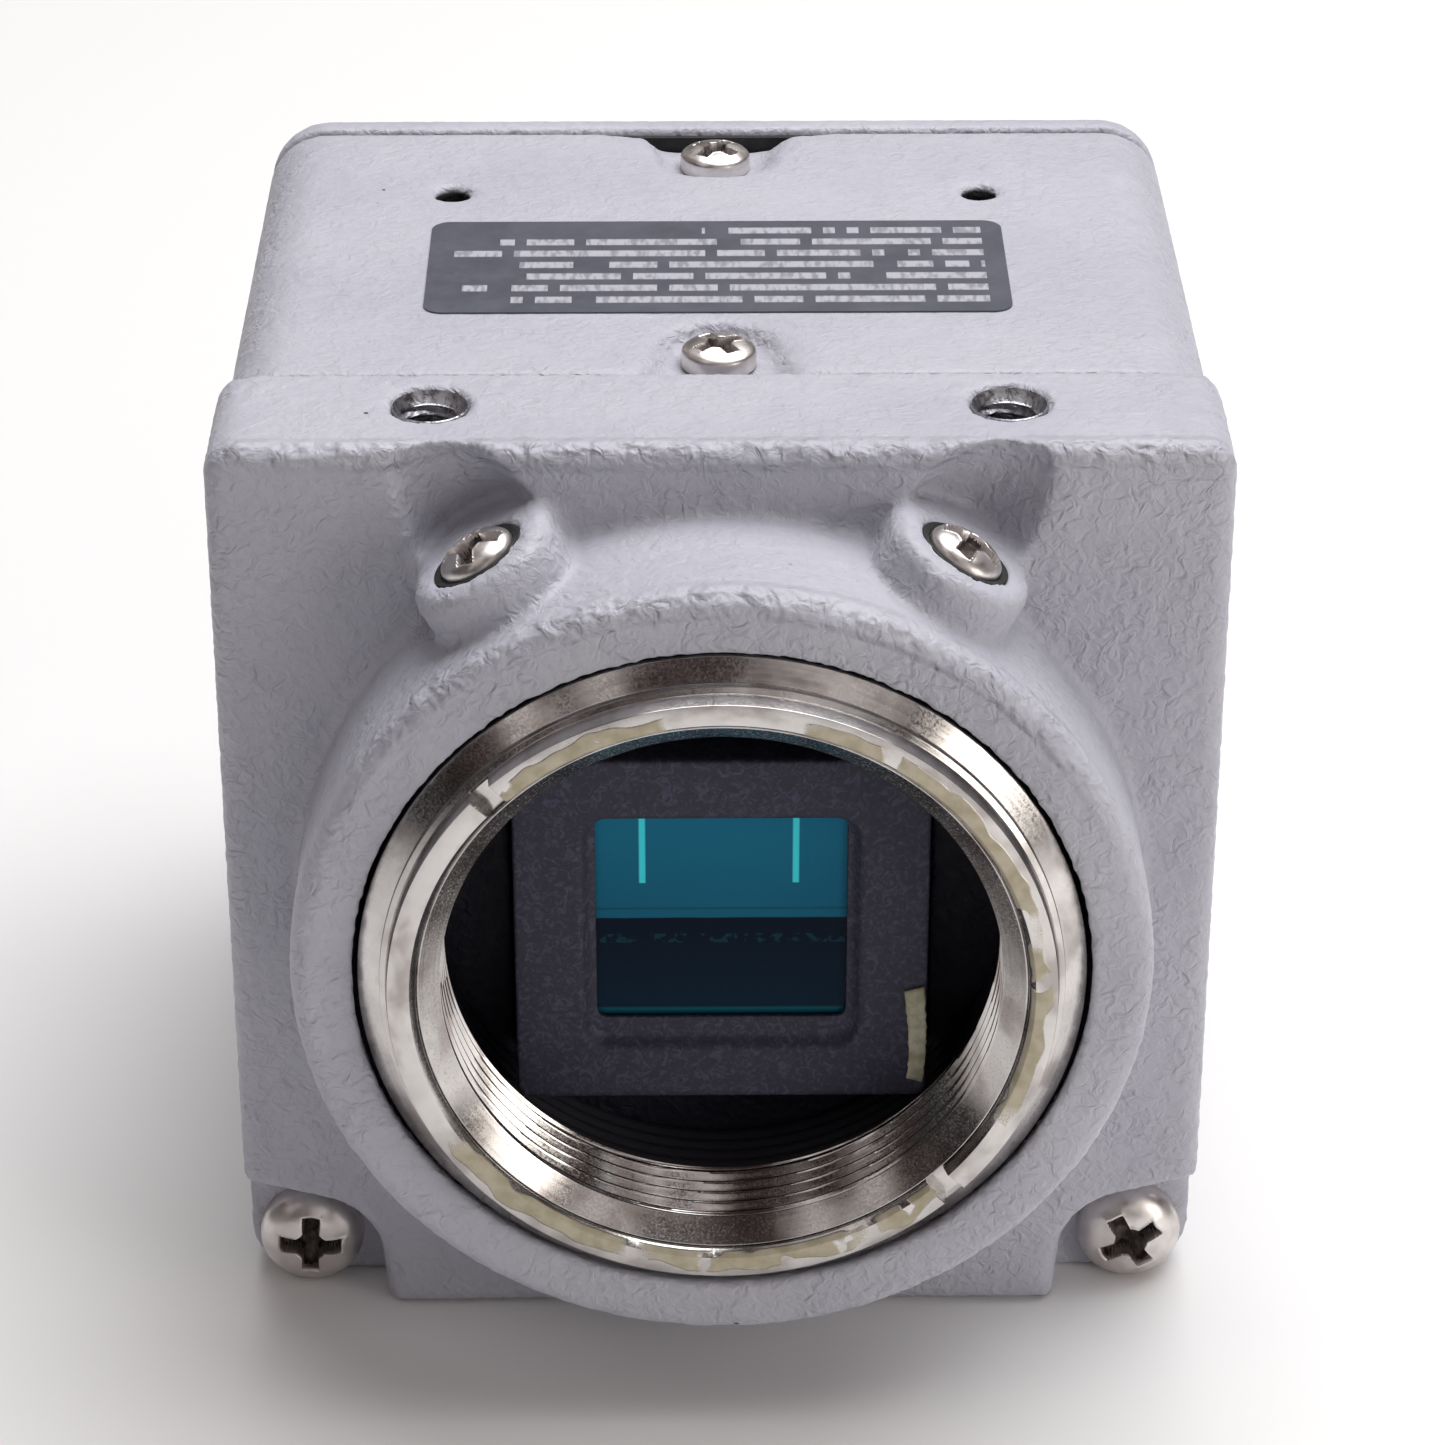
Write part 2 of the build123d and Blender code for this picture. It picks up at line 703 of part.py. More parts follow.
# ---- optics and sensor ----
def filter_holder():
    half_width = holder_width / 2
    half_height = holder_height / 2
    holder = slab(panel_sketch(half_width, -half_height, half_height, holder_corner),
                  holder_front, holder_back)
    holder += slab(panel_sketch(half_width + holder_flange_overhang, -half_height, half_height,
                                1.0), web_back, holder_back)
    holder -= slab(panel_sketch(window_width / 2, window_rise - window_height / 2,
                                window_rise + window_height / 2, 0.4),
                   holder_front - 1, filter_front + 1)
    pocket_half = window_width / 2 + pocket_margin
    pocket_rise = window_height / 2 + pocket_margin
    holder -= slab(panel_sketch(pocket_half, -pocket_rise, pocket_rise, 0.3), filter_front,
                   holder_back + 1)
    for side in (-1, 1):
        holder -= rod(holder_screw_radius + screw_gap, web_back - 1, holder_back + 1,
                      side * holder_screw_x)
    return holder


def holder_screws():
    screw = pan_screw(holder_head_radius, holder_head_height, holder_screw_radius,
                      holder_flange + web_thickness - 0.8)
    return group([facing((side * holder_screw_x, holder_back, 0), (0, 1, 0)) * screw
                  for side in (-1, 1)])


def ir_cut_filter():
    return slab(panel_sketch(filter_width / 2, -filter_height / 2, filter_height / 2, 0.2),
                filter_front, filter_back)


def dust_seal():
    """Rubber frame that presses the filter forwards and seals to the sensor's cover glass."""
    half_width = filter_width / 2
    half_height = filter_height / 2
    frame = panel_sketch(half_width, -half_height, half_height, 0.2)
    frame -= panel_sketch(half_width - seal_wall, seal_wall - half_height,
                          half_height - seal_wall, 0.6)
    return slab(frame, filter_back, glass_front)


def sensor_cover_glass():
    half_width = package_cavity_width / 2 + 1.6
    half_height = package_cavity_height / 2 + 1.6
    return slab(panel_sketch(half_width, -half_height, half_height, 0.3), glass_front,
                package_front)


def sensor_package():
    half_width = package_width / 2
    half_height = package_height / 2
    body = slab(panel_sketch(half_width, -half_height, half_height, 0.4), package_front,
                package_front + package_depth)
    cavity = panel_sketch(package_cavity_width / 2, -package_cavity_height / 2,
                          package_cavity_height / 2, 0.4)
    return body - slab(cavity, package_front - 1, image_plane + die_thickness)


def sensor_die():
    return slab(panel_sketch(die_width / 2, -die_height / 2, die_height / 2, 0.1), image_plane,
                image_plane + die_thickness)


def sensor_leads():
    """Gull-wing leads from both sides of the package down to the sensor board."""
    start = package_front + package_depth / 2
    leads = []
    for side in (-1, 1):
        for index in range(lead_count):
            z = (index - (lead_count - 1) / 2) * lead_pitch
            edges = (z - lead_width / 2, z + lead_width / 2)
            inner = package_width / 2
            knee = inner + lead_reach / 2
            arm = block(inner, knee, start, start + lead_thickness, *edges)
            drop = block(knee - lead_thickness, knee, start, sensor_board_front, *edges)
            foot = block(knee - lead_thickness, inner + lead_reach,
                         sensor_board_front - lead_thickness, sensor_board_front, *edges)
            lead = arm + drop + foot
            leads.append(lead if side > 0 else mirror(lead, Plane.YZ))
    return group(leads)


# ---- circuit boards ----
def board(y0):
    sketch = panel_sketch(board_half, board_bottom, board_top, 1.0)
    plate = slab(sketch, y0, y0 + board_thickness)
    for x, z in stack_places:
        plate -= rod(stack_screw_radius + screw_gap, y0 - 1, y0 + board_thickness + 1, x, z)
    return plate


def spacers(y0, y1):
    """Four tubular spacers round the stack screws."""
    return group([rod(spacer_radius, y0, y1, x, z)
                  - rod(stack_screw_radius + screw_gap, y0 - 1, y1 + 1, x, z)
                  for x, z in stack_places])


def stack_screws():
    length = connector_board_back - block_back + stack_screw_bite
    screw = pan_screw(stack_head_radius, stack_head_height, stack_screw_radius, length)
    return group([facing((x, connector_board_back, z), (0, 1, 0)) * screw
                  for x, z in stack_places])


def link_halves(y0, y1, z):
    """The plug and the socket that join two boards, meeting half way."""
    middle = (y0 + y1) / 2
    half = link_width / 2
    plug = block(-half, half, y0, middle, z - link_height / 2, z + link_height / 2)
    plug += block(0.6 - half, half - 0.6, middle, middle + 1.2, z - 0.7, z + 0.7)
    socket = block(-half, half, middle, y1, z - link_height / 2, z + link_height / 2)
    slot = block(0.5 - half, half - 0.5, middle - 1, middle + 1.3, z - 0.8, z + 0.8)
    return plug, socket - slot


def chip(x, z, y, width, height, thickness):
    """A flat chip with its near face at y; a negative thickness rises towards the lens."""
    body = Pos(x, z) * Rectangle(width, height)
    y0, y1 = sorted((y, y + thickness))
    return slab(fillet(body.vertices(), 0.3), y0, y1)


def capacitor(x, z, y, radius, height):
    """A round capacitor standing on the back of a board."""
    can = rod(radius, y + 0.6, y + height, x, z)
    return chip(x, z, y, 2 * radius, 2 * radius, 0.7) + can


link_z = 10.0
link_places = {
    "sensor_link": (sensor_board_back, signal_board_front, link_z),
    "power_link": (signal_board_back, power_board_front, -link_z + 1),
    "output_link": (power_board_back, connector_board_front, link_z),
}

parts = {
    "front_housing": front_housing(),
    "adjusting_ring": adjusting_ring(),
    "lens_barrel": lens_barrel(),
    "lock_screw_left": lock_screw(-1),
    "lock_screw_right": lock_screw(1),
    "corner_screws": corner_screws(),
    "upper_cover": upper_cover(),
    "base_tray": base_tray(),
    "cover_screws": cover_screws(1),
    "tray_screws": cover_screws(-1),
    "label_plate": label_plate(),
    "rear_panel": rear_panel(),
    "rear_gasket": rear_gasket(),
    "rear_panel_screws": rear_panel_screws(),
    "filter_holder": filter_holder(),
    "holder_screws": holder_screws(),
    "ir_cut_filter": ir_cut_filter(),
    "dust_seal": dust_seal(),
    "sensor_cover_glass": sensor_cover_glass(),
    "sensor_package": sensor_package(),
    "sensor_die": sensor_die(),
    "sensor_leads": sensor_leads(),
    "sensor_board": board(sensor_board_front),
    "signal_board": board(signal_board_front),
    "power_board": board(power_board_front),
    "connector_board": board(connector_board_front),
    "front_spacers": spacers(block_back, sensor_board_front),
    "signal_spacers": spacers(sensor_board_back, signal_board_front),
    "power_spacers": spacers(signal_board_back, power_board_front),
    "rear_spacers": spacers(power_board_back, connector_board_front),
    "stack_screws": stack_screws(),
    "sensor_driver_chips": group([chip(side * 9, -5, sensor_board_back, 7, 7, 1.2)
                                  for side in (-1, 1)]),
    "image_processor": chip(0, 1, signal_board_front, 14, 10, -1.6),
    "memory_chips": group([chip(side * 7, 4, signal_board_back, 8, 10, 1.2)
                           for side in (-1, 1)]),
    "clock_crystal": chip(-12, -4, signal_board_back, 5, 3.2, 1.4),
    "power_inductors": group([chip(x, -4, power_board_front, 6, 6, -3.0) for x in (-11, 11)]),
    "power_capacitors": group([capacitor(x, -6, power_board_back, 1.6, 2.4)
                               for x in (-9, -3, 3, 9)]),
    "line_driver_chips": group([chip(side * 6, -2, connector_board_front, 8, 5, -1.1)
                                for side in (-1, 1)]),
    "round_connector_shell": round_connector_shell(),
    "round_connector_nut": round_connector_nut(),
    "round_connector_insert": round_connector_insert(),
    "round_connector_contacts": round_connector_contacts(),
    "digital_connector_shell": digital_connector_shell(),
    "digital_connector_insert": digital_connector_insert(),
    "digital_connector_contacts": digital_connector_contacts(),
    "jack_posts": jack_posts(),
    "status_led": status_led(),
}
for link, (start, end, height) in link_places.items():
    parts[link + "_plug"], parts[link + "_socket"] = link_halves(start, end, height)

os.makedirs("parts", exist_ok=True)
for name, shape in parts.items():
    export_step(shape, f"parts/{name}.step")
print(f"{len(parts)} nodes")
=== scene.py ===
import json
import math
import random

import bmesh
import bpy
import numpy as np
from mathutils import Matrix, Vector, noise

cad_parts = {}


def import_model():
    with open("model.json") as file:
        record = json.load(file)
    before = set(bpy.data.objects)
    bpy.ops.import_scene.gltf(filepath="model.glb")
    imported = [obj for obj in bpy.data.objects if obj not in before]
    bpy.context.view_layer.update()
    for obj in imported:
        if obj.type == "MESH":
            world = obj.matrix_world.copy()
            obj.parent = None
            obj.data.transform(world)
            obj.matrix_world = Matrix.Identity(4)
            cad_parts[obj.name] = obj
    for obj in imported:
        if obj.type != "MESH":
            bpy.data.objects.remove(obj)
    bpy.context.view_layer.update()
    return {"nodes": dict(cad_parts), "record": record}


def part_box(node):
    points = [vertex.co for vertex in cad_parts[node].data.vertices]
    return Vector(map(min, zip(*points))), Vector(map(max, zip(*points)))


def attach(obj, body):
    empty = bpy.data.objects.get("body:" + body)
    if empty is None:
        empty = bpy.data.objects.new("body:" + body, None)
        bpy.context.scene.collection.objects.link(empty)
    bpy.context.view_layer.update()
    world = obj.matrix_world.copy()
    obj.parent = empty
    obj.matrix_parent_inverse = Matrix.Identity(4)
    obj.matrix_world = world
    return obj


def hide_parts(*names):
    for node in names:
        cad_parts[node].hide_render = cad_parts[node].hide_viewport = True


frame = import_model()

MM = 0.001

# ---------------------------------------------------------------- places from the frame
low = {node: box[0] / MM for node, box in ((n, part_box(n)) for n in frame["nodes"])}
high = {node: box[1] / MM for node, box in ((n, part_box(n)) for n in frame["nodes"])}
mounts = {m["name"]: m for m in frame["record"]["mounts"]}

running_gap = 0.03       # radial, from the ring to the barrel
bore_relief = 0.37       # radial gap in front, from the ring to the housing
boss_wall = 2.64         # of the round boss of the housing, round that gap
ring_radius = high["adjusting_ring"].x
ring_back = high["adjusting_ring"].y
barrel_radius = high["lens_barrel"].x
barrel_front = low["lens_barrel"].y
barrel_back = high["lens_barrel"].y
thread_radius = mounts["lens_thread"]["dims"]["r_mm"]
ring_bore = barrel_radius + running_gap
boss_front = low["front_housing"].y
bore_radius = ring_radius + bore_relief
block_top = high["front_housing"].z
cover_top = high["upper_cover"].z
tray_bottom = low["base_tray"].z
boss_radius = bore_radius + boss_wall
block_front = 9.2        # face of the block behind the round boss
m2_x = mounts["top_m2_holes"]["dims"]["spacing_x_mm"] / 2
m2_y = mounts["top_m2_holes"]["pos_m"][1] / MM
m2_radius = mounts["top_m2_holes"]["dims"]["hole_r_mm"]
cover_front = low["upper_cover"].y
filter_lip = 0.9         # of the holder, over the edge of the filter
filter_margin = 2.75     # from the edge of the filter to the side of the holder
window_rise = 0.45       # centre of the window above the lens axis


# ---------------------------------------------------------------- node helpers
class Shader:
    """A material with a principled shader and small helpers for its node tree."""

    def __init__(self, name, color=(0.8, 0.8, 0.8), roughness=0.5, metallic=0.0, **sockets):
        self.material = bpy.data.materials.new(name)
        self.material.use_nodes = True
        self.tree = self.material.node_tree
        self.bsdf = self.tree.nodes["Principled BSDF"]
        self.bsdf.inputs["Base Color"].default_value = (*color, 1)
        self.bsdf.inputs["Roughness"].default_value = roughness
        self.bsdf.inputs["Metallic"].default_value = metallic
        for socket, value in sockets.items():
            self.bsdf.inputs[socket.replace("_", " ")].default_value = value
        coordinates = self.node("ShaderNodeTexCoord")
        scale = self.node("ShaderNodeVectorMath", operation="SCALE")
        scale.inputs["Scale"].default_value = 1 / MM
        self.link(coordinates.outputs["Object"], scale.inputs[0])
        self.place = scale.outputs[0]

    def node(self, kind, **settings):
        node = self.tree.nodes.new(kind)
        for key, value in settings.items():
            setattr(node, key, value)
        return node

    def link(self, source, target):
        self.tree.links.new(source, target)

    def put(self, socket, value):
        """Fills a socket with a number, a colour or another node's output."""
        if isinstance(value, bpy.types.NodeSocket):
            self.link(value, socket)
        elif isinstance(value, (tuple, list)) and len(value) == 3 and socket.type == "RGBA":
            socket.default_value = (*value, 1)
        else:
            socket.default_value = value

    def noise(self, scale, detail=2.0, roughness=0.5, distortion=0.0, place=None):
        node = self.node("ShaderNodeTexNoise")
        self.put(node.inputs["Vector"], place or self.place)
        node.inputs["Scale"].default_value = scale
        node.inputs["Detail"].default_value = detail
        node.inputs["Roughness"].default_value = roughness
        node.inputs["Distortion"].default_value = distortion
        return node.outputs["Fac"]

    def voronoi(self, scale, feature="F1"):
        node = self.node("ShaderNodeTexVoronoi", feature=feature)
        self.put(node.inputs["Vector"], self.place)
        node.inputs["Scale"].default_value = scale
        return node.outputs["Distance"]

    def math(self, operation, a, b=0.0):
        node = self.node("ShaderNodeMath", operation=operation)
        for socket, value in zip(node.inputs, (a, b)):
            self.put(socket, value)
        return node.outputs[0]

    def span(self, value, start, end, low=0.0, high=1.0):
        """Maps a value from start..end to low..high, clamped."""
        node = self.node("ShaderNodeMapRange", interpolation_type="SMOOTHSTEP")
        self.put(node.inputs["Value"], value)
        for name, number in (("From Min", start), ("From Max", end), ("To Min", low),
                             ("To Max", high)):
            node.inputs[name].default_value = number
        return node.outputs["Result"]

    def mix(self, factor, a, b):
        node = self.node("ShaderNodeMix", data_type="RGBA")
        self.put(node.inputs["Factor"], factor)
        self.put(node.inputs["A"], a)
        self.put(node.inputs["B"], b)
        return node.outputs["Result"]

    def axes(self):
        node = self.node("ShaderNodeSeparateXYZ")
        self.link(self.place, node.inputs[0])
        return node.outputs

    def stretched(self, x, y, z):
        node = self.node("ShaderNodeVectorMath", operation="MULTIPLY")
        self.link(self.place, node.inputs[0])
        node.inputs[1].default_value = (x, y, z)
        return node.outputs[0]

    def radius(self):
        """Distance from the lens axis in millimetres."""
        x, _, z = self.axes()
        return self.math("SQRT", self.math("ADD", self.math("MULTIPLY", x, x),
                                           self.math("MULTIPLY", z, z)))

    def color(self, value):
        self.put(self.bsdf.inputs["Base Color"], value)

    def rough(self, value):
        self.put(self.bsdf.inputs["Roughness"], value)

    def bump(self, height, depth, strength=1.0, under=None):
        """Adds a bump of a depth in millimetres, on top of an earlier one."""
        node = self.node("ShaderNodeBump")
        node.inputs["Strength"].default_value = strength
        node.inputs["Distance"].default_value = depth * MM
        self.put(node.inputs["Height"], height)
        if under:
            self.link(under, node.inputs["Normal"])
        self.link(node.outputs["Normal"], self.bsdf.inputs["Normal"])
        return node.outputs["Normal"]


def inside(shader, value, start, end, soft=0.05):
    """1 where value lies between start and end."""
    return shader.math("MULTIPLY", shader.span(value, start - soft, start + soft),
                       shader.span(value, end - soft, end + soft, 1.0, 0.0))


# ---------------------------------------------------------------- materials
def paint():
    """Thick grey enamel with an orange-peel skin, a torn edge in the mount bore and a few chips. Past the
    torn edge the bore is near black: partly black inner paint, partly painted shade in the gap round the
    ring.
    """
    s = Shader("grey_paint", roughness=0.45)
    s.bsdf.inputs["Specular IOR Level"].default_value = 0.38
    light = s.mix(s.span(s.noise(0.12, 3), 0.35, 0.65), (0.45, 0.451, 0.516), (0.485, 0.485, 0.548))
    light = s.mix(s.span(s.noise(3.2, 3), 0.3, 0.75, 0.0, 0.15), light, (0.37, 0.37, 0.415))
    worms = s.noise(1.6, 2.0, 0.5, 1.0)
    light = s.mix(s.span(worms, 0.3, 0.44, 0.1, 0.0), light, (0.27, 0.268, 0.3))
    specks = s.span(s.voronoi(0.34), 0.03, 0.045, 1.0, 0.0)
    chosen = s.span(s.noise(0.23, 1), 0.57, 0.59)
    light = s.mix(s.math("MULTIPLY", specks, chosen), light, (0.03, 0.03, 0.035))
    x, y, z = s.axes()
    radius = s.radius()
    edge = s.math("ADD", y, s.math("MULTIPLY", s.noise(1.9, 4), 0.7))
    # Near black past the torn edge in the bore: black inner paint and painted shade in the gap round the
    # ring.
    torn_edge_and_shade = s.math("MULTIPLY", s.span(radius, bore_radius + 0.2, bore_radius + 0.24, 1.0, 0.0),
                  inside(s, edge, boss_front + 1.38, cover_front, 0.03))
    # Near black in the small tapped holes: painted shade.
    light = s.mix(tapped_hole_shade(s, x, y, z), light, (0.02, 0.02, 0.022))
    s.color(s.mix(torn_edge_and_shade, light, (0.02, 0.02, 0.035)))
    s.rough(s.math("ADD", s.span(s.noise(1.3, 2), 0.3, 0.7, 0.38, 0.52),
                   s.math("MULTIPLY", torn_edge_and_shade, 0.2)))
    facing = s.node("ShaderNodeSeparateXYZ")
    s.link(s.node("ShaderNodeNewGeometry").outputs["Normal"], facing.inputs[0])
    lying = s.span(facing.outputs["Z"], 0.75, 0.95, 1.0, 0.42)
    patchy = s.span(s.noise(0.35, 2), 0.35, 0.6, 0.55, 1.0)
    skin = s.math("MULTIPLY", worms, s.math("MULTIPLY", lying, patchy))
    first = s.bump(skin, 0.25, 1.0)
    rim = s.math("MULTIPLY", inside(s, radius, boss_radius - 1.0, boss_radius + 0.15, 0.2),
                 s.math("MULTIPLY", inside(s, y, boss_front - 0.3, boss_front + 1.3, 0.3), s.span(z, 6, 13)))
    brow = s.math("MULTIPLY", inside(s, y, block_front - 0.1, block_front + 1.0, 0.25),
                  inside(s, z, block_top - 1.0, block_top + 0.3, 0.25))
    rim = s.math("MAXIMUM", rim, brow)
    torn_rim = s.bump(s.math("MULTIPLY", rim, s.noise(0.95, 1, 0.5, 0.6)), 0.42, 1.0, first)
    s.bump(s.noise(4.0, 2), 0.03, 0.6, torn_rim)
    return s.material


def tapped_hole_shade(s, x, y, z):
    """1 inside the small tapped holes of the cover and the tray, which are not painted grey; their near
    black colour is painted shade.
    """
    across = s.math("SUBTRACT", s.math("ABSOLUTE", x), m2_x)
    along = s.math("SUBTRACT", y, m2_y)
    distance = s.math("SQRT", s.math("ADD", s.math("MULTIPLY", across, across),
                                     s.math("MULTIPLY", along, along)))
    deep_shade = s.math("MULTIPLY", s.span(z, cover_top - 0.4, cover_top - 0.2, 1.0, 0.0),
                  s.span(z, tray_bottom + 0.2, tray_bottom + 0.4))
    return s.math("MULTIPLY", s.span(distance, m2_radius + 0.14, m2_radius + 0.2, 1.0, 0.0), deep_shade)


def steel(name, tint=(0.66, 0.635, 0.62), roughness=0.2, ring=False):
    """Turned steel: fine lines round the axis and dark brown streaks round it that are painted reflections.
    The ring also has dried sealant on its flat.
    """
    s = Shader(name, tint, roughness, 1.0)
    s.bsdf.inputs["Anisotropic"].default_value = 0.6
    around = s.node("ShaderNodeTangent", direction_type="RADIAL", axis="Y")
    s.link(around.outputs[0], s.bsdf.inputs["Tangent"])
    s.bsdf.inputs["Anisotropic Rotation"].default_value = 0.25
    radius = s.radius()
    x, y, z = s.axes()
    angle = s.node("ShaderNodeCombineXYZ")
    s.link(s.math("ARCTAN2", z, x), angle.inputs[0])
    s.link(s.math("MULTIPLY", radius, 0.12), angle.inputs[1])
    # Painted reflections: dark brown streaks that change with the angle round the axis.
    reflection_streaks = s.span(s.noise(4.5, 3, place=angle.outputs[0]), 0.45, 0.68, 0.0, 0.62)
    base = s.mix(s.span(s.noise(0.5, 4), 0.35, 0.7), tint, tuple(0.84 * c for c in tint))
    base = s.mix(reflection_streaks, base, tuple(c * t for c, t in zip(tint, (0.36, 0.31, 0.29))))
    shine = s.span(s.noise(9.0, 3), 0.3, 0.7, roughness - 0.05, roughness + 0.07)
    if not ring:
        lead_in = s.span(y, barrel_front + 0.85, barrel_front + 0.95, 1.0, 0.0)
        base = s.mix(s.math("MULTIPLY", lead_in, 0.12), base, (0.2, 0.18, 0.175))
        shine = s.math("ADD", shine, s.math("MULTIPLY", lead_in, 0.06))
    turning = s.node("ShaderNodeCombineXYZ")
    s.link(radius, turning.inputs[0])
    s.link(y, turning.inputs[1])
    normal = s.bump(s.noise(4.0, 1, place=turning.outputs[0]), 0.008, 0.5)
    if ring:
        behind = s.math("MULTIPLY", s.span(y, barrel_back, barrel_back + 0.05),
                        s.span(radius, ring_bore + 0.3, ring_bore + 0.35, 1.0, 0.0))
        sealed = dried_patches(s, x, y, z, radius)
        base = s.mix(behind, base, (0.024, 0.024, 0.034))
        beige = s.mix(s.span(s.noise(1.2, 2), 0.3, 0.7), (0.40, 0.355, 0.24), (0.53, 0.48, 0.365))
        base = s.mix(sealed, base, beige)
        covered = s.math("MAXIMUM", behind, sealed)
        s.put(s.bsdf.inputs["Metallic"], s.math("SUBTRACT", 1.0, covered))
        shine = s.math("ADD", shine, s.math("MULTIPLY", covered, 0.22))
        normal = s.bump(s.math("MULTIPLY", sealed, s.noise(1.0, 2)), 0.09, 0.8, normal)
    s.color(base)
    s.rough(shine)
    s.bump(s.noise(1.8, 1), 0.006, 0.3, normal)
    return s.material


def dried_patches(s, x, y, z, radius):
    """1 where scraps of dried sealant are left round the flange, thinner towards their ends."""
    turn = s.math("MULTIPLY", s.math("ARCTAN2", z, x), 180 / math.pi)
    turn = s.math("ADD", turn, s.math("MULTIPLY", s.noise(0.6, 1), 12.0))
    cover = 0.0
    for first, last in ((22, 80), (106, 142), (-20, 18), (-52, -38), (-98, -58), (-142, -104)):
        cover = s.math("MAXIMUM", cover, inside(s, turn, first, last, 2.0))
    ragged = s.math("ADD", radius, s.math("MULTIPLY", s.noise(0.45, 1), 1.1))
    band = inside(s, ragged, ring_bore + 0.55, ring_bore + 1.42, 0.04)
    front = s.span(y, 0.25, 0.3, 1.0, 0.0)
    holes = s.span(s.noise(0.5, 2), 0.36, 0.4)
    return s.math("MULTIPLY", s.math("MULTIPLY", cover, band), s.math("MULTIPLY", front, holes))


def screw_metal():
    """Satin nickel plate."""
    s = Shader("screw_nickel", (0.74, 0.70, 0.68), 0.34, 1.0)
    cloud = s.noise(0.8, 3)
    s.color(s.mix(s.span(cloud, 0.35, 0.7), (0.76, 0.72, 0.70), (0.60, 0.56, 0.54)))
    s.rough(s.span(s.noise(1.5, 2), 0.3, 0.7, 0.3, 0.4))
    s.bump(s.noise(1.2, 1), 0.004, 0.3)
    return s.material


def recess_shaded_metal():
    """The worn, browned walls of a driver recess, coloured near black as painted shade in the recess."""
    s = Shader("screw_recess", (0.06, 0.045, 0.04), 0.5, 0.4)
    s.color(s.mix(s.span(s.noise(3.0, 2), 0.4, 0.7), (0.03, 0.022, 0.02), (0.11, 0.085, 0.075)))
    s.rough(s.span(s.noise(3.0, 2), 0.3, 0.7, 0.42, 0.6))
    s.bump(s.noise(4.0, 2), 0.01, 0.4)
    return s.material


def bare_alloy():
    """Scored bare metal of the tapped holes, dark where they go deep: painted shade."""
    s = Shader("bare_alloy", (0.62, 0.62, 0.66), 0.3, 1.0)
    scored = s.noise(1.6, 3, 0.6, 2.0)
    bare = s.mix(s.span(scored, 0.36, 0.5), (0.22, 0.22, 0.24), (0.45, 0.45, 0.49))
    _, _, z = s.axes()
    middle = (block_top + low["front_housing"].z) / 2
    from_middle = s.math("ABSOLUTE", s.math("SUBTRACT", z, middle))
    # Painted shade: darker towards black the further into the hole.
    deep_shade = s.span(from_middle, block_top - middle - 1.9, block_top - middle - 0.6, 1.0, 0.0)
    s.color(s.mix(s.math("MULTIPLY", deep_shade, 0.85), bare, (0.05, 0.05, 0.055)))
    s.rough(s.span(s.noise(4.0, 3), 0.3, 0.7, 0.25, 0.45))
    s.bump(scored, 0.05, 0.7)
    return s.material


def label_film():
    """Dark film with rows of pale bars that stand for print and say nothing."""
    s = Shader("label_film", (0.07, 0.075, 0.1), 0.38)
    x, y, _ = s.axes()
    margin, pitch, space = 0.72, 1.34, 0.56
    rows = s.math("DIVIDE", s.math("SUBTRACT", y, low["label_plate"].y + margin), pitch)
    row = s.math("FLOOR", rows)
    cell = s.node("ShaderNodeCombineXYZ")
    s.link(s.math("FLOOR", s.math("DIVIDE", x, space)), cell.inputs[0])
    s.link(row, cell.inputs[1])
    word = s.node("ShaderNodeTexWhiteNoise", noise_dimensions="2D")
    s.link(cell.outputs[0], word.inputs["Vector"])
    length = s.node("ShaderNodeTexWhiteNoise", noise_dimensions="1D")
    s.link(row, length.inputs["W"])
    short = s.math("MULTIPLY", s.math("GREATER_THAN", row, 5.5), 8.0)
    start = s.math("ADD", s.math("ADD", s.math("MULTIPLY", length.outputs["Value"], 4.0), -12.4), short)
    ink = s.math("GREATER_THAN", word.outputs["Value"], 0.15)
    for mask in (inside(s, s.math("FRACT", rows), 0.24, 0.76, 0.05), s.math("GREATER_THAN", x, start),
                 s.math("LESS_THAN", x, 12.5), inside(s, rows, 0.0, 7.0, 0.01)):
        ink = s.math("MULTIPLY", ink, mask)
    worn = s.span(s.noise(3.2, 2, place=s.stretched(1.0, 0.25, 1.0)), 0.36, 0.56, 0.5, 1.0)
    film = s.mix(s.span(s.noise(0.4, 3), 0.3, 0.7), (0.062, 0.066, 0.09), (0.085, 0.09, 0.118))
    s.color(s.mix(s.math("MULTIPLY", ink, worn), film, (0.44, 0.44, 0.50)))
    s.rough(s.span(s.noise(2.0, 3), 0.3, 0.7, 0.34, 0.46))
    s.bump(s.noise(1.2, 3), 0.02, 0.4)
    return s.material


def charcoal(tone=(0.026, 0.026, 0.044), roughness=0.55):
    """Glass filled plastic: short pale fibres in a dark ground."""
    s = Shader("charcoal", tone, roughness)
    s.bsdf.inputs["Specular IOR Level"].default_value = 0.3
    fibres = s.noise(2.3, 4, 0.6, 1.6)
    grain = s.noise(9.0, 2)
    s.color(s.mix(s.span(fibres, 0.46, 0.66), tone, tuple(2.1 * c for c in tone)))
    s.rough(s.span(grain, 0.3, 0.7, roughness - 0.08, roughness + 0.12))
    first = s.bump(fibres, 0.05, 0.6)
    s.bump(grain, 0.02, 0.4, first)
    return s.material


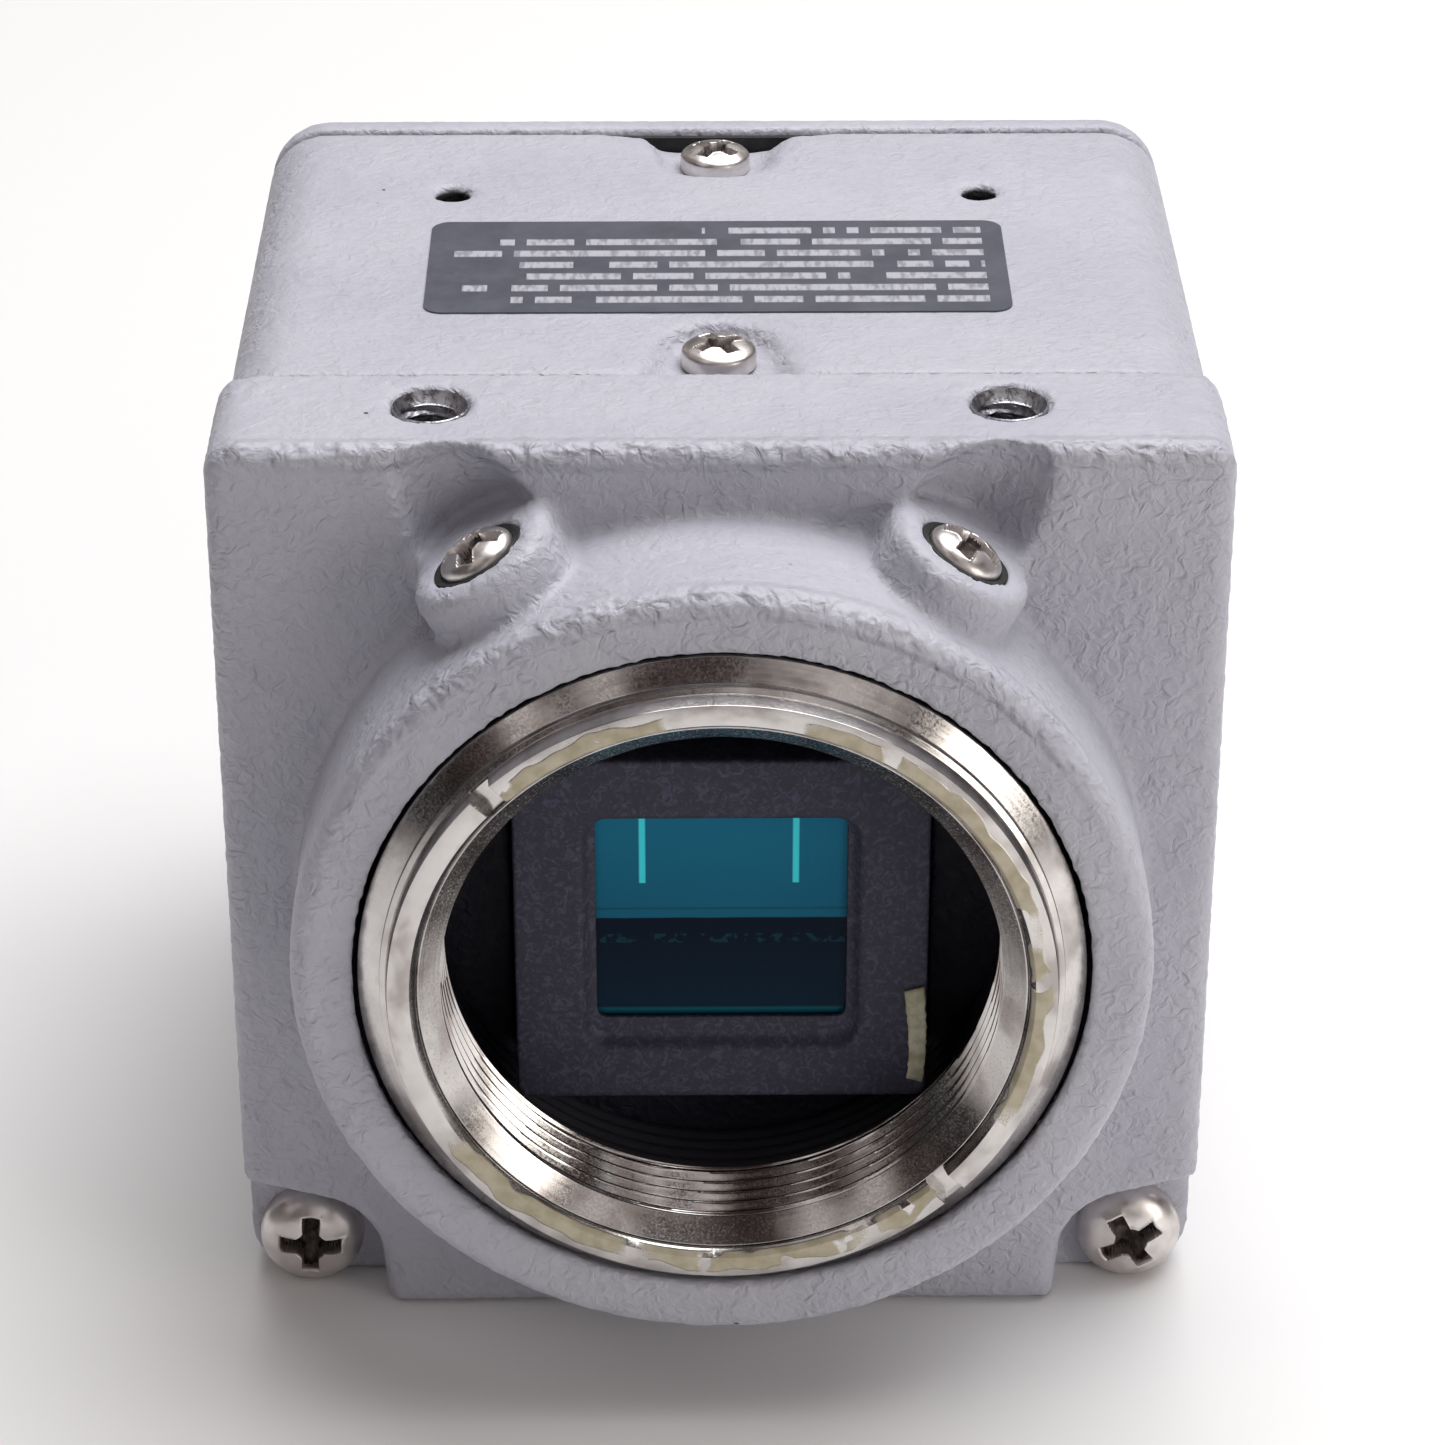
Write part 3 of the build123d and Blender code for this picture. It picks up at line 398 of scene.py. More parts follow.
def filter_glass_painted_light():
    """Infrared cut filter with painted light and shade: bright teal above, where it shows the lit sensor,
    dark navy below as painted shade, and two painted bright lines.
    """
    s = Shader("filter_glass_painted_light", (0.02, 0.1, 0.14), 0.06)
    s.bsdf.inputs["Specular IOR Level"].default_value = 0.06
    x, _, z = s.axes()
    border = 0.32
    wavy = s.math("ADD", z, s.math("MULTIPLY", s.noise(0.3, 1), 0.1))
    # Painted light above the border, painted shade below it.
    teal = s.mix(s.span(z, border, 5.2), (0.007, 0.115, 0.205), (0.009, 0.145, 0.25))
    teal = s.mix(inside(s, z, border + 0.4, border + 0.5, 0.06), teal, (0.005, 0.075, 0.12))
    navy = s.mix(s.span(z, -4.4, 0.4), (0.001, 0.014, 0.032), (0.001, 0.006, 0.018))
    navy = s.mix(inside(s, z, -4.72, -4.42, 0.08), navy, (0.004, 0.07, 0.1))
    print_row = s.math("MULTIPLY", inside(s, z, -1.0, -0.55, 0.05), s.span(s.noise(2.6, 3), 0.5, 0.6))
    navy = s.mix(s.math("MULTIPLY", print_row, 0.5), navy, (0.01, 0.06, 0.09))
    body = s.mix(s.span(wavy, border - 0.02, border + 0.06), navy, teal)
    # Painted highlights: two bright teal lines in the upper part.
    for line_x in (-3.52, 3.31):
        streak = s.math("MULTIPLY", inside(s, x, line_x - 0.14, line_x + 0.14, 0.04),
                        inside(s, z, 2.1, 6.5, 0.03))
        body = s.mix(streak, body, (0.06, 0.72, 0.82))
    s.color(body)
    dust = s.span(s.voronoi(0.9), 0.03, 0.06, 1.0, 0.0)
    s.rough(s.math("ADD", 0.05, s.math("MULTIPLY", dust, 0.3)))
    return s.material


def sealant():
    """Pale dried sealant, a little translucent."""
    s = Shader("dried_sealant", (0.36, 0.34, 0.22), 0.5)
    s.color(s.mix(s.span(s.noise(1.6, 4), 0.35, 0.65), (0.30, 0.285, 0.185), (0.50, 0.48, 0.36)))
    s.bsdf.inputs["Subsurface Weight"].default_value = 0.1
    s.bsdf.inputs["Subsurface Radius"].default_value = (0.0004, 0.0003, 0.0002)
    s.bump(s.noise(3.0, 4), 0.05, 0.7)
    return s.material


def moulded(name, tone, roughness=0.5):
    """Plastic, rubber, glass or ceramic with a fine grain."""
    s = Shader(name, tone, roughness)
    speck = s.noise(6.0, 3)
    s.color(s.mix(s.span(speck, 0.35, 0.7), tone, tuple(min(1.0, 1.3 * c + 0.004) for c in tone)))
    s.rough(s.span(s.noise(2.0, 3), 0.3, 0.7, roughness - 0.07, roughness + 0.1))
    s.bump(speck, 0.02, 0.4)
    return s.material


def plated(name, tone, roughness=0.3):
    """Slightly clouded plated metal."""
    s = Shader(name, tone, roughness, 1.0)
    cloud = s.noise(0.9, 4)
    s.color(s.mix(s.span(cloud, 0.35, 0.7), tone, tuple(0.8 * c for c in tone)))
    s.rough(s.span(s.noise(1.5, 2), 0.3, 0.7, roughness - 0.04, roughness + 0.08))
    s.bump(s.noise(1.2, 1), 0.006, 0.3)
    return s.material


def board_mask():
    """Green solder mask with the edges of copper areas under it."""
    s = Shader("solder_mask", (0.01, 0.12, 0.05), 0.3)
    tracks = s.voronoi(0.8, "DISTANCE_TO_EDGE")
    s.color(s.mix(s.span(tracks, 0.05, 0.08), (0.02, 0.2, 0.09), (0.008, 0.1, 0.045)))
    s.bump(s.span(tracks, 0.05, 0.08), 0.03, 0.5)
    return s.material


GREY_PAINT = paint()
RING_STEEL = steel("mount_steel", ring=True)
BARREL_STEEL = steel("barrel_steel", roughness=0.15)
SCREW_METAL = screw_metal()
RECESS_SHADED_METAL = recess_shaded_metal()
BARE_ALLOY = bare_alloy()
LABEL_FILM = label_film()
CHARCOAL = charcoal()
FILTER_GLASS_PAINTED_LIGHT = filter_glass_painted_light()
SEALANT = sealant()
RUBBER = moulded("seal_rubber", (0.012, 0.012, 0.013), 0.7)
BLACK_PLASTIC = moulded("black_plastic", (0.014, 0.014, 0.016), 0.45)
CERAMIC = moulded("package_ceramic", (0.06, 0.045, 0.045), 0.55)
SILICON = plated("silicon", (0.12, 0.13, 0.2), 0.2)
GOLD = plated("gold_flash", (0.83, 0.6, 0.27), 0.25)
NICKEL = plated("satin_nickel", (0.6, 0.585, 0.56), 0.3)
BRASS = plated("plated_brass", (0.66, 0.6, 0.44), 0.35)
SOLDER_MASK = board_mask()
CLEAR_GLASS = moulded("clear_glass", (0.5, 0.55, 0.56), 0.08)
LED_LENS = moulded("led_lens", (0.06, 0.3, 0.07), 0.2)


# ---------------------------------------------------------------- mesh helpers
def new_piece(name, vertices, faces, material, body):
    """A mesh object from millimetre points, riding on a body."""
    mesh = bpy.data.meshes.new(name)
    mesh.from_pydata([tuple(c * MM for c in v) for v in vertices], [], faces)
    mesh.materials.append(material)
    mesh.validate()
    mesh.shade_smooth()
    piece = bpy.data.objects.new(name, mesh)
    bpy.context.scene.collection.objects.link(piece)
    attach(piece, body)
    return piece


def apply_modifiers(piece):
    """Makes the result of a piece's modifiers its own mesh."""
    graph = bpy.context.evaluated_depsgraph_get()
    mesh = bpy.data.meshes.new_from_object(piece.evaluated_get(graph))
    piece.modifiers.clear()
    piece.data = mesh


def read_points(mesh):
    """The points of a mesh in millimetres."""
    values = np.empty(len(mesh.vertices) * 3, np.float32)
    mesh.vertices.foreach_get("co", values)
    return values.reshape(-1, 3).astype(np.float64) / MM


def write_points(mesh, points):
    mesh.vertices.foreach_set("co", (points * MM).ravel().astype(np.float32))
    mesh.update()


def relaxed(points, edges, rounds, weight=None, factor=0.5):
    """Moves every point towards the mean of its neighbours."""
    counts = np.bincount(edges.ravel(), minlength=len(points)).astype(float)[:, None]
    for _ in range(rounds):
        total = np.zeros_like(points)
        for axis in range(3):
            total[:, axis] = (np.bincount(edges[:, 0], points[edges[:, 1], axis], len(points))
                              + np.bincount(edges[:, 1], points[edges[:, 0], axis], len(points)))
        move = factor * (total / counts - points)
        points = points + (move if weight is None else move * weight[:, None])
    return points


def fine_copy(name, node, voxel, holes=()):
    """A copy of a CAD shape in small even faces, with its points in millimetres and its edges."""
    piece = bpy.data.objects.new(name, frame["nodes"][node].data.copy())
    bpy.context.scene.collection.objects.link(piece)
    for hole in holes:
        drill(piece, *hole)
    remesh = piece.modifiers.new("fine", "REMESH")
    remesh.mode = "VOXEL"
    remesh.voxel_size = voxel * MM
    apply_modifiers(piece)
    edges = np.empty(len(piece.data.edges) * 2, np.int32)
    piece.data.edges.foreach_get("vertices", edges)
    return piece, read_points(piece.data), edges.reshape(-1, 2)


def take_place(piece, node, points, material):
    """Puts a worked copy in the place of its CAD shape, inside the same box."""
    write_points(piece.data, np.clip(points, low[node], high[node]))
    piece.data.materials.clear()
    piece.data.materials.append(material)
    piece.data.shade_smooth()
    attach(piece, "camera_body")
    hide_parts(node)


def softened(node, voxel, rounds, material):
    """The CAD shape with its edges slightly rounded, as die cast and plated metal has them."""
    piece, points, edges = fine_copy(node + "_soft", node, voxel)
    take_place(piece, node, relaxed(points, edges, rounds), material)


def drill(piece, place, direction, radius, depth):
    """Bores a plain hole of this depth into a casting before it is remeshed."""
    work = bmesh.new()
    bmesh.ops.create_cone(work, cap_ends=True, segments=64, radius1=radius * MM, radius2=radius * MM,
                          depth=2 * depth * MM)
    tool_mesh = bpy.data.meshes.new("tool")
    work.to_mesh(tool_mesh)
    work.free()
    tool = bpy.data.objects.new("tool", tool_mesh)
    turn = Vector(direction).to_track_quat("Z", "Y").to_matrix().to_4x4()
    tool_mesh.transform(Matrix.Translation(Vector(place) * MM) @ turn)
    bpy.context.scene.collection.objects.link(tool)
    cut = piece.modifiers.new("cut", "BOOLEAN")
    cut.operation = "DIFFERENCE"
    cut.solver = "EXACT"
    cut.object = tool
    apply_modifiers(piece)
    bpy.data.objects.remove(tool)


def narrowed_mouth(points):
    """Draws the mouth of the mount bore in a little, where the paint has built up."""
    radius = np.hypot(points[:, 0], points[:, 2])
    near = np.clip(1.0 - np.abs(radius - bore_radius - 0.1) / 0.8, 0, 1)
    near *= np.clip(1.0 - (points[:, 1] - boss_front) / 1.1, 0, 1)
    closer = 1.0 - 0.17 * np.minimum(1.0, 1.6 * near) / np.maximum(radius, 1.0)
    drawn = points.copy()
    drawn[:, 0] *= closer
    drawn[:, 2] *= closer
    return drawn


def casting(node, voxel, rounds, roughen, soft_zones=(), holes=(), shape=None):
    """The CAD shape with rolled, paint-filled edges: remeshed finely, relaxed and roughened."""
    piece, sharp, edges = fine_copy(node + "_cast", node, voxel, holes)
    points = relaxed(sharp, edges, rounds)
    for centre, reach, more in soft_zones:
        distance = np.linalg.norm((points - np.array(centre)) / np.array(reach), axis=1)
        points = relaxed(points, edges, more, np.clip(2.0 * (1.0 - distance), 0, 1))
    rolled = np.clip(np.linalg.norm(points - sharp, axis=1) / 0.1, 0, 1)
    rolled = relaxed(np.repeat(rolled[:, None], 3, axis=1), edges, 5)[:, 0]
    if shape:
        points = shape(points)
    write_points(piece.data, points)
    normals = np.empty(len(points) * 3, np.float32)
    piece.data.vertices.foreach_get("normal", normals)
    lumps = np.array([noise.noise(Vector(p) * 1.7) + 0.7 * noise.noise(Vector(p) * 3.3)
                      for p in points])
    height = (lumps - 0.5) * (0.3 + 1.2 * rolled) * roughen
    points = points + normals.reshape(-1, 3) * height[:, None]
    take_place(piece, node, points, GREY_PAINT)


def grid_faces(rows, columns, closed=True):
    """Quads of a grid whose rows run along the profile and columns round the axis."""
    faces = []
    for i in range(rows - 1):
        for j in range(columns if closed else columns - 1):
            k = (j + 1) % columns
            faces.append((i * columns + j, i * columns + k, (i + 1) * columns + k, (i + 1) * columns + j))
    return faces


def loop_faces(rows, columns):
    """Quads of a closed profile of so many rows, turned round the whole circle."""
    faces = []
    for i in range(rows):
        below = ((i + 1) % rows) * columns
        for j in range(columns):
            k = (j + 1) % columns
            faces.append((i * columns + j, below + j, below + k, i * columns + k))
    return faces


def full_circle(count):
    return [2 * math.pi * i / count for i in range(count)]


def closed_turning(name, angles, profile_at, material, body, place=(0, 0, 0), direction=None):
    """A closed ring from a profile of (radius, height) that may change with the angle.

    It stands on the lens axis, or at a place with its heights along a direction."""
    columns = [profile_at(a) for a in angles]
    rows = len(columns[0])
    spin = Vector(direction).to_track_quat("Z", "Y").to_matrix() if direction else None
    vertices = []
    for i in range(rows):
        for a, column in zip(angles, columns):
            radius, height = column[i]
            x, z = radius * math.cos(a), radius * math.sin(a)
            local = spin @ Vector((x, z, height)) if direction else Vector((x, height, z))
            vertices.append(tuple(Vector(place) + local))
    piece = new_piece(name, vertices, loop_faces(rows, len(angles)), material, body)
    correct_normals(piece)
    return piece


def correct_normals(piece):
    """Turns every face outwards."""
    work = bmesh.new()
    work.from_mesh(piece.data)
    bmesh.ops.recalc_face_normals(work, faces=work.faces)
    work.to_mesh(piece.data)
    work.free()


def sharpen(piece, degrees=30):
    """Keeps the edges over an angle crisp."""
    piece.data.set_sharp_from_angle(angle=math.radians(degrees))


# ---------------------------------------------------------------- lens mount
def rounded(points, radius=0.06, steps=3):
    """A closed profile with its corners cut to small arcs."""
    out = []
    count = len(points)
    for i in range(count):
        before, corner, after = (Vector(points[(i + k) % count]) for k in (-1, 0, 1))
        to_before, to_after = before - corner, after - corner
        reach = min(radius, 0.4 * to_before.length, 0.4 * to_after.length)
        a = corner + to_before.normalized() * reach
        b = corner + to_after.normalized() * reach
        for step in range(steps + 1):
            t = step / steps
            out.append(tuple((1 - t) ** 2 * a + 2 * t * (1 - t) * corner + t * t * b))
    return out


def mount_ring():
    """Flange ring with two spanner notches, a cone level with the housing and a ridged rear bore."""
    notch_depth = 0.8
    notch_half = 0.55
    notch_radius = 14.0
    ring_shoulder = 0.27     # step at the back of the ring that the barrel seats on
    notch_angles = [math.radians(135), math.radians(-45) % (2 * math.pi)]
    shoulder = barrel_back + 0.02
    rear_bore = ring_bore - ring_shoulder
    rear_radius = ring_radius - 0.12
    outside = [(14.63, 0.0), (14.73, 0.9), (15.0, 1.0), (15.0, 1.3), (ring_radius, 1.87),
               (ring_radius, 2.4), (rear_radius, 2.5), (rear_radius, ring_back)]
    inner = [(rear_bore, ring_back)]
    ridge, top = 0.8, ring_back - 0.3
    while top > shoulder + ridge:
        inner += [(rear_bore, top), (rear_bore + 0.16, top - 0.3), (rear_bore, top - 0.6)]
        top -= ridge
    inner += [(rear_bore, shoulder), (ring_bore, shoulder), (ring_bore, 0.42), (ring_bore + 0.27, 0.0)]
    profile = rounded(outside + inner, 0.05, 2)

    angles = full_circle(288)
    for centre in notch_angles:
        half = notch_half / notch_radius
        angles = [a for a in angles if abs((a - centre + math.pi) % (2 * math.pi) - math.pi) > half * 1.15]
        for t in (-1.06, -1.0, -0.96, -0.5, 0.0, 0.5, 0.96, 1.0, 1.06):
            angles.append((centre + t * half) % (2 * math.pi))
    angles.sort()

    def profile_at(angle):
        depth = 0.0
        for centre in notch_angles:
            off = abs((angle - centre + math.pi) % (2 * math.pi) - math.pi) / (notch_half / notch_radius)
            if off < 0.99:
                depth = notch_depth
            elif off < 1.03:
                depth = 0.06
        return [(r, max(y, depth)) for r, y in profile]

    piece = closed_turning("mount_ring_turned", angles, profile_at, RING_STEEL, "mount_ring")
    sharpen(piece, 25)
    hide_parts("adjusting_ring")


def thread_barrel():
    """Inner barrel with the helical 1 inch, 32 threads per inch lens thread."""
    pitch = 25.4 / 32
    depth = 0.42
    start, end = barrel_front + 0.9, barrel_back
    samples = int((end - start) / pitch * 18)

    def thread(angle, y):
        phase = (y / pitch - angle / (2 * math.pi)) % 1.0
        rise = min(max(abs(2 * phase - 1) * 1.45 - 0.18, 0.0), 1.0)
        fade = min(1.0, (y - start) / 0.35, (end - y) / 0.3)
        return thread_radius + depth * rise * max(fade, 0.0)

    def profile_at(angle):
        points = [(barrel_radius, end), (barrel_radius, barrel_front + 0.04),
                  (barrel_radius - 0.04, barrel_front), (barrel_radius - 0.08, barrel_front)]
        points.append((thread_radius + 0.06, start - 0.05))
        for i in range(samples + 1):
            y = start + (end - start) * i / samples
            points.append((thread(angle, y), y))
        return points

    piece = closed_turning("lens_barrel_threaded", full_circle(256), profile_at, BARREL_STEEL,
                           "mount_barrel")
    sharpen(piece, 40)
    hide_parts("lens_barrel")


mount_ring()
thread_barrel()

# ---------------------------------------------------------------- castings
# radius and height of the screw heads
cover_head = (1.7, 1.1)
lock_head = (1.75, 1.3)
corner_head = (2.45, 1.75)
rear_head = (1.7, 1.2)
screw_front_y = low["cover_screws"].y + cover_head[0]
screw_back_y = high["cover_screws"].y - cover_head[0]
m3_x = mounts["top_m3_holes"]["dims"]["spacing_x_mm"] / 2
m3_radius = mounts["top_m3_holes"]["dims"]["hole_r_mm"]
m3_y = mounts["top_m3_holes"]["pos_m"][1] / MM
m3_faces = ((1, block_top), (-1, low["front_housing"].z))
sleeve_radius = m3_radius + 0.45
thread_length = 4.4


def threaded_sleeve(name, place, direction):
    """The bare countersink and screw thread of a tapped hole, set in the paint."""
    pitch, depth, sink = 0.5, 0.3, 0.62
    steps = 76

    def profile_at(angle):
        column = [(sleeve_radius, -thread_length), (sleeve_radius, -0.16), (sleeve_radius - 0.05, -0.12)]
        column += [(m3_radius + 0.1, -sink)]
        for i in range(1, steps):
            down = sink + (thread_length - sink) * i / steps
            phase = (down / pitch + angle / (2 * math.pi)) % 1.0
            column.append((m3_radius - 0.06 + depth * (1 - abs(2 * phase - 1)), -down))
        return column + [(m3_radius, -thread_length)]

    piece = closed_turning(name, full_circle(72), profile_at, BARE_ALLOY, "camera_body",
                           place, direction)
    sharpen(piece, 50)


m3_holes = []
for upside, face_z in m3_faces:
    for side in (-1, 1):
        m3_holes.append(((side * m3_x, m3_y, face_z), (0, 0, upside), sleeve_radius - 0.04, thread_length))
        threaded_sleeve(f"m3_thread_{'top' if upside > 0 else 'bottom'}_{'left' if side < 0 else 'right'}",
                        (side * m3_x, m3_y, face_z), (0, 0, upside))
casting("front_housing", 0.2, 4, 0.085, holes=m3_holes, shape=narrowed_mouth)
dishes = [((0, screw_front_y - 0.8, cover_top), (6.5, 4.2, 2.0), 40),
          ((0, screw_back_y + 0.8, cover_top), (6.5, 4.2, 2.0), 40)]
casting("upper_cover", 0.22, 4, 0.03, dishes)
casting("base_tray", 0.25, 3, 0.04)
casting("rear_panel", 0.22, 3, 0.04)


# ---------------------------------------------------------------- screws
def pan_head(name, size, place, direction, turn, body, node, crown=0.7, cross=0.56):
    """A domed cross-recessed head as a fine polar grid, with a skirt down to its seat.

    crown is the share of the height that is domed, and cross the reach of the recess."""
    spin = Vector(direction).normalized().to_track_quat("Z", "Y").to_matrix()
    spin = spin @ Matrix.Rotation(turn, 3, "Z")
    radius, height = size
    rings, columns = 64, 168
    dice = random.Random(name)
    burrs = [dice.uniform(0.0, 2 * math.pi) for _ in range(3)]
    vertices = []
    sunk = []
    for i in range(rings):
        t = i / (rings - 1)
        for j in range(columns):
            a = 2 * math.pi * j / columns
            x, y = abs(t * math.cos(a)), abs(t * math.sin(a))
            rough = 1 + 0.025 * math.sin(5 * a + burrs[0]) + 0.015 * math.sin(11 * a + burrs[1])
            reach = max(x, y) / (cross * rough)
            across = min(x, y) / (0.23 * cross + 0.05 * max(x, y))
            core = (x + y) / (0.71 * cross * rough)
            wall = min(max(reach, across), core)
            sink = 1 / (1 + math.exp(min(34 * (wall - 1.0), 60)))
            dome = height * (1 - crown + crown * math.sqrt(max(0.0, 1 - t ** (3.7 - 2 * crown))))
            floor = height * (0.9 - 0.5 * min(reach, 1.0))
            lip = 0.02 * height * math.exp(-((wall - 1.14) / 0.1) ** 2)
            vertices.append(Vector((t * radius * math.cos(a), t * radius * math.sin(a),
                                    min(dome + lip, height) - floor * sink)))
            sunk.append(sink > 0.4)
    for drop in (0.5, 1.0):
        for j in range(columns):
            a = 2 * math.pi * j / columns
            vertices.append(Vector((radius * math.cos(a), radius * math.sin(a),
                                    (1 - crown) * height * (1 - drop))))
    vertices.append(Vector((0, 0, 0)))
    rows = rings + 2
    faces = grid_faces(rows, columns)
    last = (rows - 1) * columns
    faces += [(last + j, last + (j + 1) % columns, len(vertices) - 1) for j in range(columns)]
    points = [tuple(Vector(place) + spin @ v) for v in vertices]
    piece = new_piece(name, points, faces, SCREW_METAL, body)
    # The faces sunk in the recess take the dark recess material: painted shade.
    piece.data.materials.append(RECESS_SHADED_METAL)
    for polygon in piece.data.polygons:
        corners = list(polygon.vertices)
        polygon.material_index = int(all(c < len(sunk) and sunk[c] for c in corners))
    work = bmesh.new()
    work.from_mesh(piece.data)
    bmesh.ops.remove_doubles(work, verts=work.verts, dist=1e-7)
    bmesh.ops.recalc_face_normals(work, faces=work.faces)
    work.to_mesh(piece.data)
    work.free()
    piece.data.shade_smooth()
    sharpen(piece, 50)
    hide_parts(node)


def screw_shade_ring(name, place, direction, inner, outer, depth):
    """Dark ring of painted shade in the counterbore round a sunk screw head."""
    profile = rounded([(outer, 0.0), (inner, -0.1), (inner, -depth), (outer, -depth)], 0.05, 2)
    closed_turning(name, full_circle(64), lambda angle: profile, RUBBER, "camera_body",
                   place, direction)


lock_lean = math.radians(30)
lock_y = 7.0             # lock screws behind the flange face
head_rise = 0.25         # of a lock screw's head over its CAD shape
well_rise, well_wall, well_depth = 0.61, 0.35, 0.8
for side, word in ((-1, "left"), (1, "right")):
    node = f"lock_screw_{word}"
    out = Vector((side * math.sin(lock_lean), 0, math.cos(lock_lean)))
    corners = [Vector(c.co) / MM for c in frame["nodes"][node].data.vertices]
    top = max(c.dot(out) for c in corners)
    seat = out * (top + head_rise - lock_head[1]) + Vector((0, lock_y, 0))
    pan_head(node + "_head", lock_head, seat, out, 0.5 + 0.7 * side, f"{word}_lock_screw", node,
             crown=0.6, cross=0.74)
    inner = lock_head[0] + 0.04
    # A black ring round the head stands for the shade where it sinks into the housing.
    screw_shade_ring(f"lock_shade_ring_{word}", seat + out * well_rise, out, inner, inner + well_wall, well_depth)

for group_name, direction in (("cover_screws", (0, 0, 1)), ("tray_screws", (0, 0, -1))):
    sign = direction[2]
    for index, y in enumerate((screw_front_y, screw_back_y)):
        seat_z = (high if sign > 0 else low)[group_name].z - sign * cover_head[1]
        pan_head(f"{group_name}_head_{index + 1}", cover_head, (0, y, seat_z), direction,
                 0.6 + 0.35 * index, "camera_body", group_name, crown=0.45, cross=0.62)

corner_x = high["corner_screws"].x - corner_head[0]
corner_z = high["corner_screws"].z - corner_head[0]
for side in (-1, 1):
    pan_head(f"corner_screw_head_{'left' if side < 0 else 'right'}", corner_head,
             (side * corner_x, low["corner_screws"].y + corner_head[1], corner_z), (0, -1, 0),
             0.3 * side + 0.25, "camera_body", "corner_screws")
rear_x = high["rear_panel_screws"].x - rear_head[0]
rear_z = high["rear_panel_screws"].z - rear_head[0]
for side in (-1, 1):
    pan_head(f"rear_screw_head_{'left' if side < 0 else 'right'}", rear_head,
             (side * rear_x, high["rear_panel_screws"].y - rear_head[1], rear_z), (0, 1, 0),
             0.8 * side, "camera_body", "rear_panel_screws")

# ---------------------------------------------------------------- filter holder
def filter_holder():
    """Moulded frame with softened edges and a shallow bevelled recess round its window."""
    edge = high["ir_cut_filter"] - Vector((filter_lip, 0, filter_lip))
    front = low["filter_holder"].y
    piece, points, edges = fine_copy("filter_holder_moulded", "filter_holder", 0.14)
    points = relaxed(points, edges, 3)
    recess_low, recess_high = window_rise - edge.z - 1.5, window_rise + edge.z + 0.35
    half = np.array([edge.x + 0.75, (recess_high - recess_low) / 2])
    corner, recess_depth = 1.3, 0.48
    offset = np.abs(points[:, [0, 2]] - np.array([0, (recess_high + recess_low) / 2])) - half + corner
    outside = np.linalg.norm(np.maximum(offset, 0), axis=1)
    distance = outside + np.minimum(offset.max(axis=1), 0) - corner
    ramp = np.clip(-distance / 0.6, 0, 1)
    ramp = ramp * ramp * (3 - 2 * ramp)
    near_front = np.clip(1 - (points[:, 1] - front) / 0.7, 0, 1)
    points[:, 1] += recess_depth * ramp * near_front
    take_place(piece, "filter_holder", points, CHARCOAL)


def sealant_scrap():
    """Torn strip of dried sealant over the right edge of the holder."""
    right = high["ir_cut_filter"].x + filter_margin
    front = low["filter_holder"].y
    top, bottom = -3.1, -7.7
    rows, columns = 26, 9
    dice = random.Random(3)
    ragged = [dice.uniform(-0.035, 0.035) for _ in range(2 * rows)]
    vertices = []
    for layer in (0.0, 0.12):
        for i in range(rows):
            t = i / (rows - 1)
            left = right - 1.05 + 0.25 * math.sin(2.2 * t) + ragged[i]
            width = 0.9 - 0.2 * t + 0.5 * ragged[rows + i]
            for j in range(columns):
                across = j / (columns - 1)
                lift = 0.12 * math.sin(3.1 * t) * across + 0.03 * math.sin(9 * t + 3 * across)
                vertices.append((left + width * across, front - 0.01 - lift - layer,
                                 top + (bottom - top) * t + 0.25 * across * (1 - 2 * t)))
    sheet = rows * columns
    faces = grid_faces(rows, columns, closed=False)
    faces += [tuple(sheet + v for v in face[::-1]) for face in faces]
    rim = list(range(columns))
    rim += [i * columns + columns - 1 for i in range(1, rows)]
    rim += [(rows - 1) * columns + j for j in range(columns - 2, -1, -1)]
    rim += [i * columns for i in range(rows - 2, 0, -1)]
    faces += [(a, b, sheet + b, sheet + a) for a, b in zip(rim, rim[1:] + rim[:1])]
    piece = new_piece("sealant_scrap", vertices, faces, SEALANT, "camera_body")
    correct_normals(piece)


filter_holder()
sealant_scrap()

# ---------------------------------------------------------------- rear connectors
def round_shell():
    """Flanged socket shell with a coupling thread outside and a stepped bore."""
    flange = (high["round_connector_shell"].x - low["round_connector_shell"].x) / 2
    centre = (high["round_connector_shell"] + low["round_connector_shell"]) / 2
    panel = high["rear_panel"].y
    mouth = high["round_connector_shell"].y
    inside_end = low["round_connector_shell"].y
    shell, bore, seat_bore = flange - 1.3, mounts["sync_socket"]["dims"]["r_mm"], 4.2
    insert_face = mouth - mounts["sync_socket"]["dims"]["length_mm"]
    pitch, depth = 0.75, 0.32
    outside = [(shell, inside_end), (shell, panel), (flange, panel), (flange, panel + 1.2),
               (shell, panel + 1.2), (shell, panel + 1.5)]
    inside_wall = [(shell - 0.3, mouth), (bore, mouth), (bore, insert_face), (seat_bore, insert_face),
                   (seat_bore, inside_end)]
    steps = int((mouth - 0.4 - panel - 1.5) / pitch * 14)

    def profile_at(angle):
        thread = []
        for i in range(steps + 1):
            y = panel + 1.5 + (mouth - 0.4 - panel - 1.5) * i / steps
            phase = (y / pitch + angle / (2 * math.pi)) % 1.0
            thread.append((shell - depth * (1 - min(1.0, 1.5 * abs(2 * phase - 1))), y))
        return outside + thread + inside_wall

    piece = closed_turning("round_shell_threaded", full_circle(144), profile_at, NICKEL, "camera_body",
                           (centre.x, 0, centre.z))
    sharpen(piece, 35)
    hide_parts("round_connector_shell")


round_shell()
softened("digital_connector_shell", 0.14, 2, NICKEL)
softened("status_led", 0.08, 2, LED_LENS)

